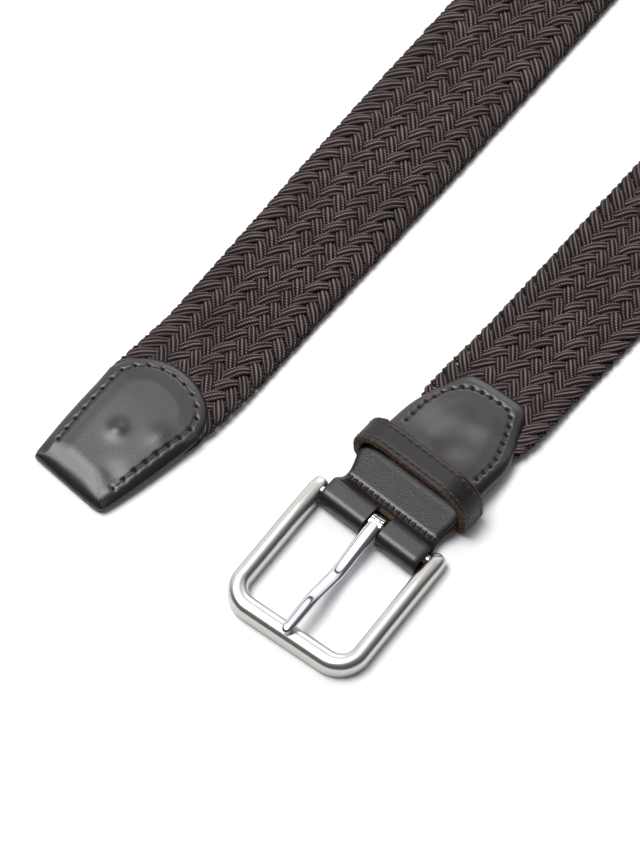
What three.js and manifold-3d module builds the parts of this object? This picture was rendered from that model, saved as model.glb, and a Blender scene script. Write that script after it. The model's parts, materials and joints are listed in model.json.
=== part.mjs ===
// Braided belt, lying unfastened: both ends flat in front, the hidden stretch standing on edge behind.
// Millimetres, +Z up. X runs across the two arms, +Y runs along them away from the belt's ends.
import * as THREE from 'three';
import { mergeVertices } from 'three/addons/utils/BufferGeometryUtils.js';
import Module from 'manifold-3d';

const wasm = await Module();
wasm.setup();

// Clearance kept between pieces that touch on the real belt
const gap = 0.3;

// Braid
const braidWidth = 37.4;
const braidEndWidth = 34.6;
const braidThickness = 3.5;
const braidPressedThickness = 2.4;
const braidSwellLength = 110;
const braidReleaseLength = 16;

// How the belt lies, from the middle of the hinge bar
const tipEndX = -73;
const tipEndY = -44.8;
const tipHeading = 86.5;
const tipBendLength = 24;
const armHeading = 92.6;
const flatArmEndY = 190;
const twistLength = 115;
const loopRadius = 53;
const shoulderRadius = 120;
const nearStationStep = 4;
const farStationStep = 8;
const nearStationReach = 72;

// Leather
const leatherWall = 1.2;
const foldWall = 1.4;

// Tip leather
const tipLength = 47;
const tipCapLength = 14;
const tipEndHalfWidth = 12.9;
const tipHalfWidth = 17;
const tipSideLength = 26;
const tipSlitLength = 11;
const tipFoldRadius = 1.8;

// Hinge bar and the fold of leather round it
const barRadius = 1.5;
const barPlay = 0.4;
const buckleYaw = 4;
const foldWidth = 32.7;
const foldSlack = 1.3;
const neckWidth = 31.4;
const pinchY = 7;
const pouchY = 12.5;
const pouchWidth = 34.2;
const pouchSideLength = 24.5;
const patchLength = 18;
const patchSlitLength = 9;
const patchHalfWidth = 10.6;
const patchCornerRadius = 4;
const patchLean = 1.6;
const slotWidth = 5.6;
const slotBackY = 4.3;
const foldEndY = 2.5;
const slotX = 0.6;

// Keeper
const keeperWall = 2.7;
const keeperFrontY = 14.2;
const keeperSideRoom = 0.3;
const leatherFallLength = 24;
const keeperBandWidth = 8.1;
const keeperRoom = 5.8;
const keeperTopRadius = 10;
const keeperBottomRadius = 3.6;

// Buckle frame
const frameHeight = 5.6;
const frameReach = 43.4;
const windowWidth = 34.4;
const armWidth = 5.3;
const frontBarWidth = 6.1;
const frameOuterRadius = 9.6;
const frameNoseLength = 3.1;
const frameSlope = 0.6;

// Prong
const prongWidth = 4;
const prongThickness = 2.2;
const prongLength = 41.3;
const prongDip = 1.9;
const eyeletPlay = 0.35;
const eyeletWall = 1.35;
const prongX = 0.4;

// Sizes that follow from those above
const foldRadius = barRadius + barPlay + foldWall;
const barHeight = foldRadius;
const leatherStack = braidPressedThickness + 2 * (leatherWall + gap);
const keeperLift = keeperWall + gap;
const keeperBackY = keeperFrontY + keeperBandWidth;
const pouchSideEndY = pouchY + pouchSideLength;
const patchEndY = pouchSideEndY + patchLength;
const braidFrontY = pouchY - leatherWall;
const braidMargin = leatherWall + gap;

const looks = {
  braid: new THREE.MeshStandardMaterial({ color: 0x352727, roughness: 0.75, metalness: 0 }),
  leather: new THREE.MeshStandardMaterial({ color: 0x2f2b2d, roughness: 0.5, metalness: 0 }),
  satinNickel: new THREE.MeshStandardMaterial({ color: 0xb9b7b0, roughness: 0.35, metalness: 1 }),
  polishedNickel: new THREE.MeshStandardMaterial({ color: 0xd5d5d8, roughness: 0.08, metalness: 1 }),
};

const { lerp, smoothstep, degToRad, radToDeg } = THREE.MathUtils;

// Solids

function closedGeometry(geometry) {
  const bare = geometry.clone();
  bare.deleteAttribute('normal');
  bare.deleteAttribute('uv');
  return mergeVertices(bare, 1e-4);
}

function solid(geometry) {
  const merged = closedGeometry(geometry);
  const mesh = new wasm.Mesh({
    numProp: 3,
    vertProperties: new Float32Array(merged.attributes.position.array),
    triVerts: new Uint32Array(merged.index.array),
  });
  return new wasm.Manifold(mesh);
}

function geometryOf(manifold) {
  const mesh = manifold.getMesh();
  const geometry = new THREE.BufferGeometry();
  geometry.setAttribute('position', new THREE.Float32BufferAttribute(mesh.vertProperties, 3));
  geometry.setIndex(Array.from(mesh.triVerts));
  geometry.computeVertexNormals();
  return geometry;
}

// Closed skin over rings of equal count, each ring convex and counter-clockwise seen from its front
function loft(rings) {
  const count = rings[0].length;
  const points = rings.flat();
  const faces = [];
  for (let ring = 0; ring < rings.length - 1; ring += 1) {
    for (let side = 0; side < count; side += 1) {
      const a = ring * count + side;
      const b = ring * count + (side + 1) % count;
      faces.push(a, b, b + count, a, b + count, a + count);
    }
  }
  const last = (rings.length - 1) * count;
  for (let side = 1; side < count - 1; side += 1) {
    faces.push(0, side + 1, side);
    faces.push(last, last + side, last + side + 1);
  }
  const geometry = new THREE.BufferGeometry().setFromPoints(points);
  geometry.setIndex(faces);
  geometry.computeVertexNormals();
  return geometry;
}

// A flat shape drawn in (Y, Z) and pulled along X, centred on the part's middle
function acrossX(shape, width) {
  const geometry = new THREE.ExtrudeGeometry(shape, { depth: width, bevelEnabled: false, curveSegments: 6 });
  const axes = new THREE.Matrix4().makeBasis(
    new THREE.Vector3(0, 1, 0),
    new THREE.Vector3(0, 0, 1),
    new THREE.Vector3(1, 0, 0),
  );
  return geometry.applyMatrix4(axes).translate(-width / 2, 0, 0);
}

// A flat shape drawn in (X, Y) and pulled up from a level below it
function upward(shape, bottom, top) {
  const geometry = new THREE.ExtrudeGeometry(shape, {
    depth: top - bottom, bevelEnabled: false, curveSegments: 12,
  });
  return geometry.translate(0, 0, bottom);
}

// Where the belt runs

function headingVector(degrees) {
  return new THREE.Vector2(Math.cos(degToRad(degrees)), Math.sin(degToRad(degrees)));
}

// Rows of straight and turning stretches from the tip end to the braid's end in the buckle leather
function routeRows() {
  const tipStraight = tipLength - tipCapLength / 2;
  const tipArm = headingVector(armHeading);
  const bend = armHeading - tipHeading;
  const bendRadius = tipBendLength / degToRad(bend);
  const start = new THREE.Vector2(tipEndX, tipEndY).addScaledVector(headingVector(tipHeading), tipStraight);
  const bendCentre = start.clone().addScaledVector(headingVector(tipHeading + 90), bendRadius);
  const armStart = bendCentre.clone().addScaledVector(headingVector(armHeading - 90), bendRadius);
  const straightEndY = flatArmEndY + twistLength;
  const tipArmLength = (straightEndY - armStart.y) / tipArm.y;
  const armEnd = armStart.clone().addScaledVector(tipArm, tipArmLength);
  const reach = loopRadius + shoulderRadius;
  const firstShoulder = armEnd.clone().addScaledVector(headingVector(armHeading + 90), shoulderRadius);
  const centreX = armEnd.x / 2;
  const centreY = firstShoulder.y + Math.sqrt(reach ** 2 - (centreX - firstShoulder.x) ** 2);
  const lastShoulderX = shoulderRadius;
  const lastShoulderY = centreY - Math.sqrt(reach ** 2 - (lastShoulderX - centreX) ** 2);
  const firstAngle = Math.atan2(centreY - firstShoulder.y, centreX - firstShoulder.x);
  const lastAngle = Math.atan2(centreY - lastShoulderY, centreX - lastShoulderX);
  const firstTurn = radToDeg(firstAngle) + 90 - armHeading;
  const lastTurn = 180 - radToDeg(lastAngle);
  const loopTurn = radToDeg(lastAngle - firstAngle) - 360;
  return [
    { stretch: 'tip leather', length: tipStraight, turn: 0 },
    { stretch: 'bend behind the tip', length: tipBendLength, turn: bend },
    { stretch: 'tip arm', length: tipArmLength, turn: 0 },
    { stretch: 'first shoulder', length: shoulderRadius * degToRad(firstTurn), turn: firstTurn },
    { stretch: 'loop', length: loopRadius * degToRad(-loopTurn), turn: loopTurn },
    { stretch: 'last shoulder', length: shoulderRadius * degToRad(lastTurn), turn: lastTurn },
    { stretch: 'buckle arm', length: lastShoulderY - braidFrontY, turn: 0 },
  ];
}

const rows = routeRows();
const routeLength = rows.reduce((sum, row) => sum + row.length, 0);

// Point and heading on the floor at a distance along the rows
function routeAt(distance) {
  const place = new THREE.Vector2(tipEndX, tipEndY);
  let heading = tipHeading;
  let left = distance;
  for (const row of rows) {
    const length = Math.min(left, row.length);
    const turned = row.turn * length / row.length;
    const middle = headingVector(heading + turned / 2);
    const half = degToRad(turned) / 2;
    const chord = half === 0 ? length : length * Math.sin(half) / half;
    place.addScaledVector(middle, chord);
    heading += turned;
    left -= length;
    if (left <= 0) break;
  }
  return { place, heading };
}

// Half width of the tip leather seen from above, before its rounded cap
function tipOutlineHalf(distance) {
  return lerp(tipEndHalfWidth, tipHalfWidth, Math.min(distance / (tipLength - tipCapLength), 1));
}

// Height of the buckle leather's underside, which the keeper's lower side lifts
function leatherBase(y) {
  const rise = smoothstep(y, foldEndY, keeperFrontY - gap);
  const fall = smoothstep(y, keeperBackY + gap, keeperBackY + leatherFallLength);
  return keeperLift * (rise - fall);
}

// Width, thickness and height of the braid's middle at a distance from each of its ends
function braidSize(distance) {
  const fromBuckle = routeLength - distance;
  const buckleY = braidFrontY + fromBuckle;
  const inTip = tipOutlineHalf(Math.min(distance, tipSideLength)) * 2 - 2 * braidMargin;
  const inPouch = pouchWidth - 2 * braidMargin;
  const tipOpening = smoothstep(distance, tipSideLength, tipSideLength + tipSlitLength);
  const pouchOpening = smoothstep(buckleY, pouchSideEndY, pouchSideEndY + patchSlitLength);
  const nearTip = lerp(inTip, braidEndWidth, tipOpening);
  const nearBuckle = lerp(inPouch, braidEndWidth, pouchOpening);
  const swellTip = smoothstep(distance, tipLength, tipLength + braidSwellLength);
  const swellBuckle = smoothstep(buckleY, patchEndY, patchEndY + braidSwellLength);
  const tipSide = distance < routeLength / 2;
  const end = tipSide ? nearTip : nearBuckle;
  const swell = tipSide ? swellTip : swellBuckle;
  const releaseTip = smoothstep(distance, tipLength, tipLength + braidReleaseLength);
  const releaseBuckle = smoothstep(buckleY, patchEndY, patchEndY + braidReleaseLength);
  const release = tipSide ? releaseTip : releaseBuckle;
  const thickness = lerp(braidPressedThickness, braidThickness, release);
  const base = tipSide ? 0 : leatherBase(buckleY);
  return {
    width: lerp(end, braidWidth, swell),
    thickness,
    middle: base + lerp(braidMargin, 0, release) + thickness / 2,
  };
}

// Turn of the strap about its own length: 0 lying flat, 90 degrees standing on edge
function edgeAngle(distance) {
  const { place } = routeAt(distance);
  return degToRad(90) * smoothstep(place.y, flatArmEndY, flatArmEndY + twistLength);
}

// Middle of the strap and its directions along, across and out of its face
function strapFrame(distance) {
  const { place, heading } = routeAt(distance);
  const angle = edgeAngle(distance);
  const outward = headingVector(heading + 90);
  const size = braidSize(distance);
  const shift = braidWidth / 2 * (1 - Math.cos(angle));
  const height = braidWidth / 2 * Math.sin(angle) + size.middle * Math.cos(angle);
  return {
    size,
    origin: new THREE.Vector3(place.x + outward.x * shift, place.y + outward.y * shift, height),
    face: new THREE.Vector3(outward.x * Math.sin(angle), outward.y * Math.sin(angle), Math.cos(angle)),
  };
}

// A ring of the strap's section, grown by an allowance on every side
function strapRing(distance, allowance) {
  const step = 0.5;
  const { origin, face, size } = strapFrame(distance);
  const ahead = strapFrame(Math.min(distance + step, routeLength)).origin;
  const behind = strapFrame(Math.max(distance - step, 0)).origin;
  const along = ahead.sub(behind).normalize();
  const across = new THREE.Vector3().crossVectors(face, along).normalize();
  const normal = new THREE.Vector3().crossVectors(along, across);
  const half = size.width / 2 + allowance;
  const thick = size.thickness / 2 + allowance;
  const outline = [
    { side: 1, inset: thick * 0.8, level: -1 },
    { side: 1, inset: thick * 0.2, level: -0.6 },
    { side: 1, inset: 0, level: 0 },
    { side: 1, inset: thick * 0.2, level: 0.6 },
    { side: 1, inset: thick * 0.8, level: 1 },
    { side: -1, inset: thick * 0.8, level: 1 },
    { side: -1, inset: thick * 0.2, level: 0.6 },
    { side: -1, inset: 0, level: 0 },
    { side: -1, inset: thick * 0.2, level: -0.6 },
    { side: -1, inset: thick * 0.8, level: -1 },
  ];
  return outline.map(({ side, inset, level }) => origin.clone()
    .addScaledVector(across, -side * (half - inset))
    .addScaledVector(normal, level * thick)).reverse();
}

function stations(start, end, step) {
  const count = Math.max(1, Math.round((end - start) / step));
  return Array.from({ length: count + 1 }, (unused, index) => lerp(start, end, index / count));
}

const braidStart = leatherWall + foldWall + gap;
const nearTipStations = stations(braidStart, nearStationReach, nearStationStep);
const farStations = stations(nearStationReach, routeLength - nearStationReach, farStationStep);
const nearBuckleStations = stations(routeLength - nearStationReach, routeLength, nearStationStep);

function braidBand() {
  const distances = [...nearTipStations, ...farStations.slice(1, -1), ...nearBuckleStations];
  return loft(distances.map((distance) => strapRing(distance, 0)));
}

// The room that an end of the braid takes in its leather
function braidRoom(distances, endShift) {
  const rings = distances.map((distance) => strapRing(distance, gap));
  const endRing = endShift > 0 ? rings.length - 1 : 0;
  const other = endShift > 0 ? endRing - 1 : 1;
  const direction = rings[endRing][0].clone().sub(rings[other][0]).setZ(0).normalize();
  rings[endRing].forEach((point) => point.addScaledVector(direction, gap));
  return loft(rings);
}

// Tip leather, drawn from its folded end along +Y

function tipPlan() {
  const shape = new THREE.Shape();
  const capY = tipLength - tipCapLength;
  shape.moveTo(-tipEndHalfWidth, 0);
  shape.lineTo(tipEndHalfWidth, 0);
  shape.lineTo(tipHalfWidth, capY);
  shape.absellipse(0, capY, tipHalfWidth, tipCapLength, 0, Math.PI, false);
  shape.closePath();
  return shape;
}

function tipProfile() {
  const shape = new THREE.Shape();
  const radius = tipFoldRadius;
  shape.moveTo(radius, 0);
  shape.lineTo(tipLength, 0);
  shape.lineTo(tipLength, leatherStack);
  shape.lineTo(radius, leatherStack);
  shape.absarc(radius, leatherStack - radius, radius, Math.PI / 2, Math.PI, false);
  shape.absarc(radius, radius, radius, Math.PI, Math.PI * 1.5, false);
  return shape;
}

function tipLeather(placement) {
  const plan = solid(upward(tipPlan(), -1, leatherStack + 1));
  const profile = solid(acrossX(tipProfile(), 3 * tipHalfWidth));
  const room = braidRoom(nearTipStations, -1).applyMatrix4(placement.clone().invert());
  return geometryOf(plan.intersect(profile).subtract(solid(room)));
}

// Buckle leather: a strip folded round the hinge bar, pinched by a seam, then a pouch round the braid

function chapePlan() {
  const shape = new THREE.Shape();
  const half = pouchWidth / 2;
  const radius = patchCornerRadius;
  const right = [
    { x: foldWidth / 2, y: foldEndY },
    { x: neckWidth / 2, y: pinchY },
    { x: neckWidth / 2, y: pinchY + 1 },
    { x: half, y: pouchY },
    { x: half, y: pouchSideEndY },
  ];
  shape.moveTo(-foldWidth / 2, -2 * foldRadius);
  shape.lineTo(foldWidth / 2, -2 * foldRadius);
  right.forEach(({ x, y }) => shape.lineTo(x, y));
  const endRight = patchHalfWidth - patchLean;
  const endLeft = -patchHalfWidth - patchLean;
  shape.lineTo(endRight, patchEndY - radius);
  shape.quadraticCurveTo(endRight - radius / 3, patchEndY, endRight - radius, patchEndY);
  shape.lineTo(endLeft + radius, patchEndY);
  shape.quadraticCurveTo(endLeft + radius / 3, patchEndY, endLeft, patchEndY - radius);
  right.slice().reverse().forEach(({ x, y }) => shape.lineTo(-x, y));
  shape.closePath();
  return shape;
}

function leatherHeight(y) {
  const foldHeight = 2 * foldRadius;
  const seam = 2 * foldWall + gap;
  const toSeam = smoothstep(y, foldEndY, pinchY);
  const toPouch = smoothstep(y, pinchY, pouchY);
  return lerp(lerp(foldHeight, seam, toSeam), leatherStack, toPouch);
}

function chapeProfile() {
  const shape = new THREE.Shape();
  const centreY = -foldSlack;
  const levels = stations(centreY, patchEndY, 2);
  shape.moveTo(centreY, 0);
  levels.slice(1).forEach((y) => shape.lineTo(y, leatherBase(y)));
  levels.slice(1).reverse().forEach((y) => shape.lineTo(y, leatherBase(y) + leatherHeight(y)));
  shape.lineTo(centreY, 2 * foldRadius);
  shape.absarc(centreY, foldRadius, foldRadius, Math.PI / 2, Math.PI * 1.5, false);
  return shape;
}

function barTunnel() {
  const shape = new THREE.Shape();
  const centreY = -foldSlack;
  const radius = foldRadius - foldWall;
  const levels = stations(centreY, pinchY - 1, 1.5);
  shape.moveTo(centreY, foldWall);
  levels.slice(1).forEach((y) => shape.lineTo(y, leatherBase(y) + foldWall));
  levels.slice(1).reverse().forEach((y) => shape.lineTo(y, leatherBase(y) + leatherHeight(y) - foldWall));
  shape.lineTo(centreY, foldRadius + radius);
  shape.absarc(centreY, foldRadius, radius, Math.PI / 2, Math.PI * 1.5, false);
  return shape;
}

function prongSlot() {
  const shape = new THREE.Shape();
  const half = slotWidth / 2;
  shape.moveTo(slotX - half, -3 * foldRadius);
  shape.lineTo(slotX + half, -3 * foldRadius);
  shape.lineTo(slotX + half, slotBackY - half / 2);
  shape.lineTo(slotX + half / 2, slotBackY);
  shape.lineTo(slotX - half / 2, slotBackY);
  shape.lineTo(slotX - half, slotBackY - half / 2);
  shape.closePath();
  return shape;
}

function buckleLeather() {
  const top = keeperLift + 3 * foldRadius;
  const plan = solid(upward(chapePlan(), -1, top));
  const profile = solid(acrossX(chapeProfile(), 2 * pouchWidth));
  const tunnel = solid(acrossX(barTunnel(), 2 * pouchWidth));
  const slot = solid(upward(prongSlot(), -1, top));
  const room = solid(braidRoom(nearBuckleStations, 1));
  return geometryOf(plan.intersect(profile).subtract(tunnel).subtract(slot).subtract(room));
}

// Keeper: a closed band round the buckle leather

function keeperOutline(target, inset) {
  const half = pouchWidth / 2 + keeperSideRoom + keeperWall - inset;
  const bottom = inset;
  const top = keeperLift + leatherStack + keeperRoom + keeperWall - inset;
  const upper = keeperTopRadius - inset;
  const lower = keeperBottomRadius - inset;
  target.moveTo(-half + lower, bottom);
  target.lineTo(half - lower, bottom);
  target.absarc(half - lower, bottom + lower, lower, -Math.PI / 2, 0, false);
  target.lineTo(half, top - upper);
  target.absarc(half - upper, top - upper, upper, 0, Math.PI / 2, false);
  target.lineTo(-half + upper, top);
  target.absarc(-half + upper, top - upper, upper, Math.PI / 2, Math.PI, false);
  target.lineTo(-half, bottom + lower);
  target.absarc(-half + lower, bottom + lower, lower, Math.PI, Math.PI * 1.5, false);
}

function keeperBand() {
  const shape = new THREE.Shape();
  const hole = new THREE.Path();
  keeperOutline(shape, 0);
  keeperOutline(hole, keeperWall);
  shape.holes.push(hole);
  const geometry = new THREE.ExtrudeGeometry(shape, {
    depth: keeperBandWidth, bevelEnabled: false, curveSegments: 7,
  });
  return closedGeometry(geometry.rotateX(Math.PI / 2).translate(0, keeperBackY, 0));
}

// Buckle frame, drawn from the hinge bar's middle, reaching along -Y

function frameRing({ x, y, outX, outY, width, shrink }) {
  const drop = frameSlope * smoothstep(y, -3 * frameNoseLength, frameNoseLength);
  const height = frameHeight - drop;
  const section = [
    { out: -0.5, up: 0.1 },
    { out: -0.4, up: 0 },
    { out: 0.4, up: 0 },
    { out: 0.5, up: 0.1 },
    { out: 0.5, up: 0.62 },
    { out: 0.38, up: 0.86 },
    { out: 0.14, up: 1 },
    { out: -0.14, up: 1 },
    { out: -0.38, up: 0.88 },
    { out: -0.5, up: 0.68 },
  ];
  return section.map(({ out, up }) => new THREE.Vector3(
    x + outX * out * width * shrink,
    y + outY * out * width * shrink,
    -barHeight + height * (0.5 + (up - 0.5) * shrink),
  ));
}

function frameStations() {
  const side = windowWidth / 2 + armWidth / 2;
  const front = -frameReach + frontBarWidth / 2;
  const radius = frameOuterRadius - (armWidth + frontBarWidth) / 4;
  const nose = [
    { back: 1, shrink: 0.3 },
    { back: 0.86, shrink: 0.62 },
    { back: 0.55, shrink: 0.88 },
    { back: 0.1, shrink: 1 },
  ];
  const half = [];
  nose.forEach(({ back, shrink }) => half.push({
    x: side, y: frameNoseLength * back, outX: 1, outY: 0, width: armWidth, shrink,
  }));
  half.push({ x: side, y: -2.5 * frameNoseLength, outX: 1, outY: 0, width: armWidth, shrink: 1 });
  stations(0, 90, 15).forEach((angle) => {
    const direction = headingVector(-angle);
    half.push({
      x: side - radius + radius * direction.x,
      y: front + radius + radius * direction.y,
      outX: direction.x,
      outY: direction.y,
      width: lerp(armWidth, frontBarWidth, angle / 90),
      shrink: 1,
    });
  });
  const mirrored = half.slice().reverse().map((row) => ({ ...row, x: -row.x, outX: -row.outX }));
  return [...half, ...mirrored];
}

function buckleFrame() {
  const rim = loft(frameStations().map(frameRing));
  const bar = new THREE.CylinderGeometry(barRadius, barRadius, windowWidth + armWidth, 16).rotateZ(Math.PI / 2);
  return geometryOf(solid(rim).add(solid(bar)));
}

// Prong, drawn from the hinge bar's middle, reaching along -Y

function prongRing({ along, level, width, thick }) {
  const half = prongWidth * width / 2;
  const deep = prongThickness * thick / 2;
  const section = [
    { side: -0.75, up: -1 },
    { side: 0.75, up: -1 },
    { side: 1, up: -0.5 },
    { side: 1, up: 0.4 },
    { side: 0.65, up: 1 },
    { side: -0.65, up: 1 },
    { side: -1, up: 0.4 },
    { side: -1, up: -0.5 },
  ];
  return section.map(({ side, up }) => new THREE.Vector3(
    prongX + side * half,
    -prongLength * along,
    level + up * deep,
  ));
}

function prong() {
  const eyeletRadius = barRadius + eyeletPlay + eyeletWall;
  const root = eyeletRadius - prongThickness / 2;
  const rest = frameHeight + gap + prongThickness / 2 - barHeight;
  const dip = root - prongDip;
  const levels = [
    { along: -0.02, level: root, width: 1.1, thick: 1 },
    { along: 0.1, level: root, width: 1.1, thick: 1 },
    { along: 0.25, level: lerp(root, dip, 0.45), width: 1.05, thick: 1 },
    { along: 0.4, level: dip, width: 1, thick: 1 },
    { along: 0.47, level: lerp(dip, rest, 0.12), width: 1, thick: 1 },
    { along: 0.68, level: lerp(dip, rest, 0.96), width: 0.95, thick: 1 },
    { along: 0.76, level: rest + gap, width: 0.92, thick: 1 },
    { along: 0.94, level: rest, width: 0.85, thick: 1 },
    { along: 0.98, level: rest, width: 0.65, thick: 0.8 },
    { along: 1, level: rest, width: 0.35, thick: 0.45 },
  ];
  const shank = solid(loft(levels.map(prongRing)));
  const roll = new THREE.CylinderGeometry(eyeletRadius, eyeletRadius, prongWidth * 1.1, 18);
  const bore = new THREE.CylinderGeometry(
    barRadius + eyeletPlay, barRadius + eyeletPlay, prongWidth * 2, 18,
  );
  roll.rotateZ(Math.PI / 2).translate(prongX, 0, 0);
  bore.rotateZ(Math.PI / 2).translate(prongX, 0, 0);
  return geometryOf(shank.add(solid(roll)).subtract(solid(bore)));
}

// Assembly

function piece(name, geometry, look) {
  const mesh = new THREE.Mesh(geometry, look);
  mesh.name = name;
  return mesh;
}

const tipPlace = new THREE.Group();
tipPlace.position.set(tipEndX, tipEndY, 0);
tipPlace.rotation.z = degToRad(tipHeading - 90);
tipPlace.updateMatrix();
tipPlace.add(piece('tip_leather', tipLeather(tipPlace.matrix), looks.leather));

const hinge = new THREE.Group();
hinge.position.set(0, 0, barHeight);
hinge.rotation.z = degToRad(buckleYaw);
hinge.add(piece('buckle_frame', buckleFrame(), looks.satinNickel));
hinge.add(piece('prong', prong(), looks.polishedNickel));

const belt = new THREE.Group();
belt.add(piece('braid_band', braidBand(), looks.braid));
belt.add(piece('buckle_leather', buckleLeather(), looks.leather));
belt.add(piece('keeper', keeperBand(), looks.leather));
belt.add(tipPlace);
belt.add(hinge);

// The origin is the middle of the belt's footprint, on the surface that it lies on
const footprint = new THREE.Box3().setFromObject(belt);
const middle = footprint.getCenter(new THREE.Vector3());
belt.position.set(-middle.x, -middle.y, -footprint.min.z);

export default belt;
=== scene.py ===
import json
import math

import bmesh
import bpy
import numpy as np
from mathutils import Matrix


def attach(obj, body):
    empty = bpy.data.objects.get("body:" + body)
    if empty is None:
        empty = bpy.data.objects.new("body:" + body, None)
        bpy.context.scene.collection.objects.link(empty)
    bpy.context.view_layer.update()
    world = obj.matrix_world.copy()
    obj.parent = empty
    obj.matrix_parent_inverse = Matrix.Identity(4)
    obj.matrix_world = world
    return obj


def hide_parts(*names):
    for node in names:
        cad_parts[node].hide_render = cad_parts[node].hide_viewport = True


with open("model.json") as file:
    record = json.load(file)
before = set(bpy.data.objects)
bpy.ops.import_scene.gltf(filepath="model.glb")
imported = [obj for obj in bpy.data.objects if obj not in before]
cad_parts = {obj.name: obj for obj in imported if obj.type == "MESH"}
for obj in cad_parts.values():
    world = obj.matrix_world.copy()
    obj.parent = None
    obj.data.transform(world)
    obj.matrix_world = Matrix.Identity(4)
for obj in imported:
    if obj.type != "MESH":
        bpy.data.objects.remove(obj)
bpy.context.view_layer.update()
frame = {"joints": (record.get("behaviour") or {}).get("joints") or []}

# The shape below is worked out in millimetres from the middle of the hinge bar
MM = 0.001
HINGE = np.array(frame["joints"][0]["pos_m"]) / MM
HINGE_ON_FLOOR = np.array([HINGE[0], HINGE[1], 0.0])

# Clearance between pieces that touch, and the distance within which points are joined
GAP = 0.3
WELD_DISTANCE = 0.002

# Braid
BRAID_WIDTH = 37.4
BRAID_END_WIDTH = 34.6
BRAID_THICKNESS = 3.5
BRAID_PRESSED_THICKNESS = 2.4
BRAID_SWELL_LENGTH = 110
BRAID_RELEASE_LENGTH = 16
BRAID_HIDDEN_END = 4.5

# How the belt lies
TIP_END = np.array([-73, -44.8])
TIP_HEADING = 86.5
TIP_BEND_LENGTH = 24
ARM_HEADING = 92.6
FLAT_ARM_END_Y = 190
TWIST_LENGTH = 115
LOOP_RADIUS = 53
SHOULDER_RADIUS = 120
GUIDE_SAMPLES = 4000

# Strands of the flat braid, each passing over two and under two, one column in each step
STRANDS = 17
STRAND_GROUPS = 6
BRAID_PITCH = 5.0
BRAID_SHEAR = 0.127
STEPS_PER_PERIOD = 2 * STRANDS
RIGHT_EDGE = STRANDS - 0.5
LEFT_EDGE = STEPS_PER_PERIOD - 0.5
RIGHT_TURN_START = 15
LEFT_TURN_START = 32
TURN_STEPS = 3
FIRST_PASS_START = LEFT_TURN_START + TURN_STEPS - STEPS_PER_PERIOD
EDGE_REACH = 8.75
EDGE_BLEND_STEPS = 3
EDGE_ROUNDING = 0.6
COLUMN_WIDTH = 2.03
STRAND_WIDTH = 3.75
STRAND_THICKNESS = 1.5
SAMPLES_PER_STEP = 3
LEAST_HEIGHT = 0.02

# One side of the cord's section, with three lobes: shares of its half width and half thickness
CORD_SIDE = [(0.88, 0.36), (0.66, 0.72), (0.37, 0.5), (0.2, 0.98), (0.0, 1.06)]

# Where the cord folds over at an edge it is narrower, and it is widest where it lies on top
FOLDING_STEPS = 0.4
NARROWING = 0.4
NARROWING_STEPS = 0.6
WIDTH_BETWEEN = 0.88
WIDTH_ON_TOP = 1.04

# How unevenly the cords run: amount and rate of each wave, its period, and what it moves
BRAID_SEED = 17
WANDER_WAVES = ((0.6, 1), (0.4, 2.7), (0.5, 6.1))
WANDER_PERIOD = (30, 60)
WANDER_OF_LEVEL = 0.04
WANDER_OF_PLACE = 0.1
WANDER_OF_ROLL = 0.3
WANDER_OF_WIDTH = 0.03

# Yarns of the cord, in the shader: twist along it, lobes across it, and sunken margins. The same relief
# is painted into the colour: painted highlights on the ridges and twist, painted shade in valleys and
# margins
TWIST_PITCH = 0.74
TWIST_SLANT = 2.2
LOBE_SPACING = 0.68
NOTCH_DEPTH = 0.7
RIDGE_LEVEL = 0.42
MARGIN_POWER = 5.0
MARGIN_DROP_AND_SHADE = 0.8
UNEVEN_SCALE = 160.0
UNEVEN_SHARE = 0.3
PAINTED_LIGHT_SHARE = 0.8
YARN_RELIEF = 0.0003
# Colours along the tone: the dark end is painted shade in the valleys and margins, the light end is
# painted highlight on the ridges and twist
BRAID_TONES_AND_PAINTED_LIGHT = (
    (0.3, (0.004, 0.0028, 0.0026)),
    (1.0, (0.42, 0.3, 0.28)),
    (0.62, (0.04, 0.026, 0.024)),
)

# What is even over a finish: values of the shader's sockets
BRAID_SURFACE = {
    "Roughness": 0.62, "Specular IOR Level": 0.2, "Sheen Weight": 0.08,
    "Sheen Roughness": 0.4, "Sheen Tint": (1.0, 0.82, 0.78, 1),
}
LEATHER_SURFACE = {"Roughness": 0.35, "Specular IOR Level": 0.6}
FLOOR_SURFACE = {"Base Color": (0.95, 0.95, 0.95, 1), "Roughness": 0.9}

# Other finishes. Plain ones: colour, roughness, grain scale and grain relief in metres
LEATHER_TONES = ((0.3, (0.008, 0.0058, 0.0066)), (0.7, (0.012, 0.0088, 0.0096)))
LEATHER_SCALES = (2000.0, 110.0)
LEATHER_RELIEF = (0.0001, 0.35)
PLAIN_FINISHES = {
    "matte_leather": ((0.015, 0.0125, 0.013), 0.5, 2000.0, 0.00005),
    "raw_leather": ((0.075, 0.047, 0.032), 0.85, 1300.0, 0.0004),
    "dark_thread": ((0.06, 0.042, 0.04), 0.4, 1500.0, 0.0001),
    "stitch_shadow": ((0.006, 0.005, 0.005), 0.9, 800.0, 0.0),
}
PLAIN_SHADES = (0.6, 1.4)
METAL_SCALE = 900.0
METAL_SHADES = (0.97, 1.0)
SATIN_NICKEL = ((0.58, 0.567, 0.536), 0.28)
POLISHED_NICKEL = ((0.62, 0.62, 0.64), 0.05)

# Leather
LEATHER_WALL = 1.2
FOLD_WALL = 1.4
LEATHER_STACK = BRAID_PRESSED_THICKNESS + 2 * (LEATHER_WALL + GAP)
LEATHER_FALL_LENGTH = 24
BRAID_MARGIN = LEATHER_WALL + GAP
BRAID_START = LEATHER_WALL + FOLD_WALL + GAP

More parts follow.
